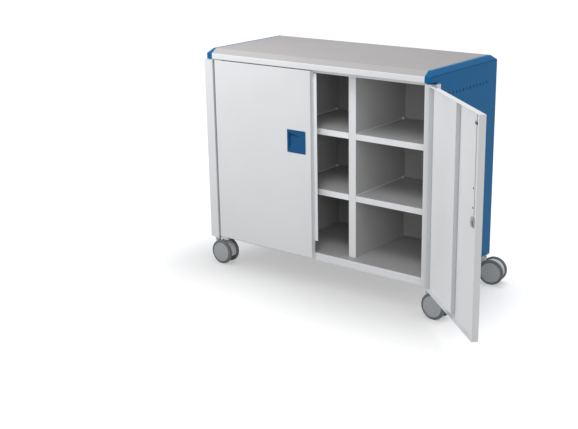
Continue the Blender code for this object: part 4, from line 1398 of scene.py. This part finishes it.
@dataclass
class Studio:
    """The camera, floor, backdrop and lamps."""

    layout: Layout
    bodies: dict[str, Piece]
    camera_place: tuple[float, float, float] = (2.7560, -3.5736, 1.7385)
    azimuth: float = 38.9256
    elevation: float = 17.2083
    roll: float = -1.0688
    focal_pixels: float = 1076.98
    sensor: float = 36.0
    ambient: float = 0.58
    floor_size: float = 40.0
    floor_colour: tuple[int, int, int] = (231, 231, 232)
    # Camera-seen floor glow near the footprint and away from it; the lower glow near it is painted shadow.
    painted_shadow_lift: float = 0.36
    lift_far: float = 0.58
    painted_shadow_reach: float = 0.40
    middle_words: tuple[str, ...] = ("middle", "astragal")
    inside_words: tuple[str, ...] = ("shelf", "divider", "side_liner", "back_liner", "deck", "astragal")
    lamps: tuple[Lamp, ...] = (
        Lamp("key_lamp", (-1.0, -1.1, 1.9), (-0.35, 0.0, 0.78), (0.9, 0.9), 17.5, Reach.OFF_INSIDE),
        Lamp("side_lamp", (2.6, -1.9, 1.1), (0.4, 0.2, 0.4), (1.4, 1.4), 21.0, Reach.OFF_DOOR),
        Lamp("top_lamp", (0.1, 1.3, 3.4), (0.0, 0.1, 0.0), (1.8, 1.2), 32.0, Reach.OFF_WORKTOP),
        Lamp("worktop_lamp", (0.0, -0.3, 3.4), (0.0, 0.1, 0.9), (1.8, 1.2), 13.5, Reach.ON_WORKTOP),
        Lamp("shelf_lamp", (1.7, -2.8, 2.2), (0.2, 0.1, 0.5), (1.6, 1.6), 16.0, Reach.ON_SHELVES),
        Lamp("middle_lamp", (0.5, -0.95, 2.05), (0.25, 0.1, 0.6), (0.7, 0.7), 16.5, Reach.ON_MIDDLE),
        Lamp("front_lamp", (0.5, -0.75, 2.05), (0.25, 0.1, 0.6), (0.6, 0.6), 10.0, Reach.ON_SIDES),
        Lamp("door_lamp", (-1.6, -2.0, 1.5), (0.8, -0.2, 0.55), (1.0, 1.0), 18.5, Reach.ON_DOOR),
        Lamp("edge_lamp", (3.0, -0.6, 1.0), (0.9, -0.2, 0.55), (1.4, 1.4), 8.0, Reach.ON_DOOR),
    )

    def build(self) -> None:
        """Set up the whole studio."""
        self.build_camera()
        self.build_world()
        floor = self.build_floor()
        door = self.pieces(("right_door", "lock_cam", "lock_rod"))
        worktop = self.pieces(("cabinet",), ("worktop",))
        inside = self.pieces(("cabinet", "left_door"), self.inside_words)
        middle = self.pieces(("cabinet", "left_door"), self.middle_words)
        groups = {
            Reach.OFF_INSIDE: [floor, *inside],
            Reach.OFF_DOOR: [floor, *door],
            Reach.OFF_WORKTOP: worktop,
            Reach.ON_WORKTOP: worktop,
            Reach.ON_SHELVES: inside,
            Reach.ON_MIDDLE: middle,
            Reach.ON_SIDES: [piece for piece in inside if piece not in middle],
            Reach.ON_DOOR: door,
        }
        for lamp in self.lamps:
            lamp.hang(self.layout, groups[lamp.reach])
        bpy.context.scene.view_settings.view_transform = "Standard"

    def pieces(self, bodies: Sequence[str], words: Sequence[str] = ("",)) -> list[Piece]:
        """List the pieces that ride on some bodies.

        Args:
            bodies: the bodies' names.
            words: what a piece's name has to hold, at least one of them.

        Returns:
            The pieces.
        """
        return [piece for body in bodies for piece in self.bodies[body].children
                if any(word in piece.name for word in words)]

    def build_camera(self) -> None:
        """Place the camera at the photograph's viewing angle."""
        azimuth, elevation, roll = (math.radians(v) for v in (self.azimuth, self.elevation, self.roll))
        back = Vector((math.sin(azimuth) * math.cos(elevation), -math.cos(azimuth) * math.cos(elevation),
                       math.sin(elevation)))
        right = Vector((math.cos(azimuth), math.sin(azimuth), 0.0))
        up = back.cross(right)
        x_axis = math.cos(roll) * right + math.sin(roll) * up
        y_axis = -math.sin(roll) * right + math.cos(roll) * up
        turn = Matrix((x_axis, y_axis, back)).transposed().to_4x4()
        data = bpy.data.cameras.new("camera")
        data.sensor_fit = "HORIZONTAL"
        data.sensor_width = self.sensor
        data.lens = self.focal_pixels * self.sensor / PHOTO_WIDTH
        camera = bpy.data.objects.new("camera", data)
        camera.matrix_world = Matrix.Translation(self.layout.at(*self.camera_place)) @ turn
        bpy.context.scene.collection.objects.link(camera)
        bpy.context.scene.camera = camera

    @staticmethod
    def seen_ray(tree: bpy.types.NodeTree) -> bpy.types.NodeSocket:
        """Give a socket that is 1 for camera, glossy and transmission rays.

        Args:
            tree: the node tree to add to.

        Returns:
            The output socket.
        """
        path = add_node(tree, "LightPath", {})
        total = path.outputs["Is Camera Ray"]
        for ray in ("Is Glossy Ray", "Is Transmission Ray"):
            total = add_node(tree, "Math", {0: total, 1: path.outputs[ray]}, operation="MAXIMUM").outputs[0]
        return total

    def build_world(self) -> None:
        """Make a world that is seen white and lights softly."""
        world = bpy.data.worlds.new("studio")
        bpy.context.scene.world = world
        world.use_nodes = True
        tree = world.node_tree
        light = tree.nodes["Background"]
        fill(light, {"Color": PLAIN_WHITE, "Strength": self.ambient})
        seen = add_node(tree, "Background", {"Color": PLAIN_WHITE, "Strength": 1.0})
        blend = add_node(tree, "MixShader", {"Fac": self.seen_ray(tree), 1: light.outputs["Background"],
                                             2: seen.outputs["Background"]})
        fill(tree.nodes["World Output"], {"Surface": blend.outputs["Shader"]})

    def build_floor(self) -> Piece:
        """Lay the pale floor, which keeps the cabinet's cast shadow and, for camera rays, glows less near
        the cabinet's footprint: a painted shadow around it.

        Returns:
            The floor.
        """
        Bench.clear()
        bpy.ops.mesh.primitive_plane_add(size=self.floor_size, location=(0.0, 0.0, 0.0))
        floor = bpy.context.object
        floor.name = "floor"
        material = bpy.data.materials.new("pale_floor")
        material.use_nodes = True
        tree = material.node_tree
        tree.nodes.remove(tree.nodes["Principled BSDF"])
        matt = add_node(tree, "BsdfDiffuse", {"Color": linear(self.floor_colour)})
        # The camera-seen glow is weaker close to the footprint: painted shadow around the cabinet.
        rise = add_node(tree, "MapRange", {"Value": self.floor_distance(tree), "From Max": self.painted_shadow_reach,
                                           "To Min": self.painted_shadow_lift, "To Max": self.lift_far},
                        interpolation_type="SMOOTHSTEP")
        seen = add_node(tree, "Math", {0: self.seen_ray(tree), 1: rise.outputs["Result"]},
                        operation="MULTIPLY")
        lift = add_node(tree, "Emission", {"Strength": seen.outputs[0]})
        total = add_node(tree, "AddShader", {0: matt.outputs["BSDF"], 1: lift.outputs["Emission"]})
        fill(tree.nodes["Material Output"], {"Surface": total.outputs["Shader"]})
        floor.data.materials.append(material)
        return floor

    @staticmethod
    def floor_distance(tree: bpy.types.NodeTree) -> bpy.types.NodeSocket:
        """Give a socket with a floor point's distance from the cabinet's footprint.

        Args:
            tree: the floor's node tree.

        Returns:
            The output socket.
        """
        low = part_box("left_front_post")[0]
        high = Vector((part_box("right_front_post")[1].x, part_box("worktop")[1].y, 0.0))
        steps = (("SUBTRACT", {1: (low + high) / 2}), ("ABSOLUTE", {}), ("SUBTRACT", {1: (high - low) / 2}),
                 ("MAXIMUM", {1: Vector()}), ("MULTIPLY", {1: Vector((1.0, 1.0, 0.0))}))
        socket = add_node(tree, "TexCoord", {}).outputs["Object"]
        for operation, inputs in steps:
            step = add_node(tree, "VectorMath", {0: socket, **inputs}, operation=operation)
            socket = step.outputs["Vector"]
        return add_node(tree, "VectorMath", {0: socket}, operation="LENGTH").outputs["Value"]


def clear_scene() -> None:
    """Start from an empty scene."""
    for item in list(bpy.data.objects):
        bpy.data.objects.remove(item, do_unlink=True)


def main() -> None:
    """Load the frame, build each sub-assembly in order and set up the studio."""
    logging.basicConfig(level=logging.INFO, format="%(message)s")
    clear_scene()
    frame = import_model()
    layout = Layout.read(frame)
    Carcass().build()
    for hand in Hand:
        Door(layout, hand).build()
    for place in ("front_left", "front_right", "back_left", "back_right"):
        Caster(layout, place).build()
    Lock(layout).build(frame["nodes"])
    Hardware().dress(frame["nodes"])
    Studio(layout, frame["bodies"]).build()
    Bench.clear()
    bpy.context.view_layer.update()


if __name__ == "__main__":
    main()
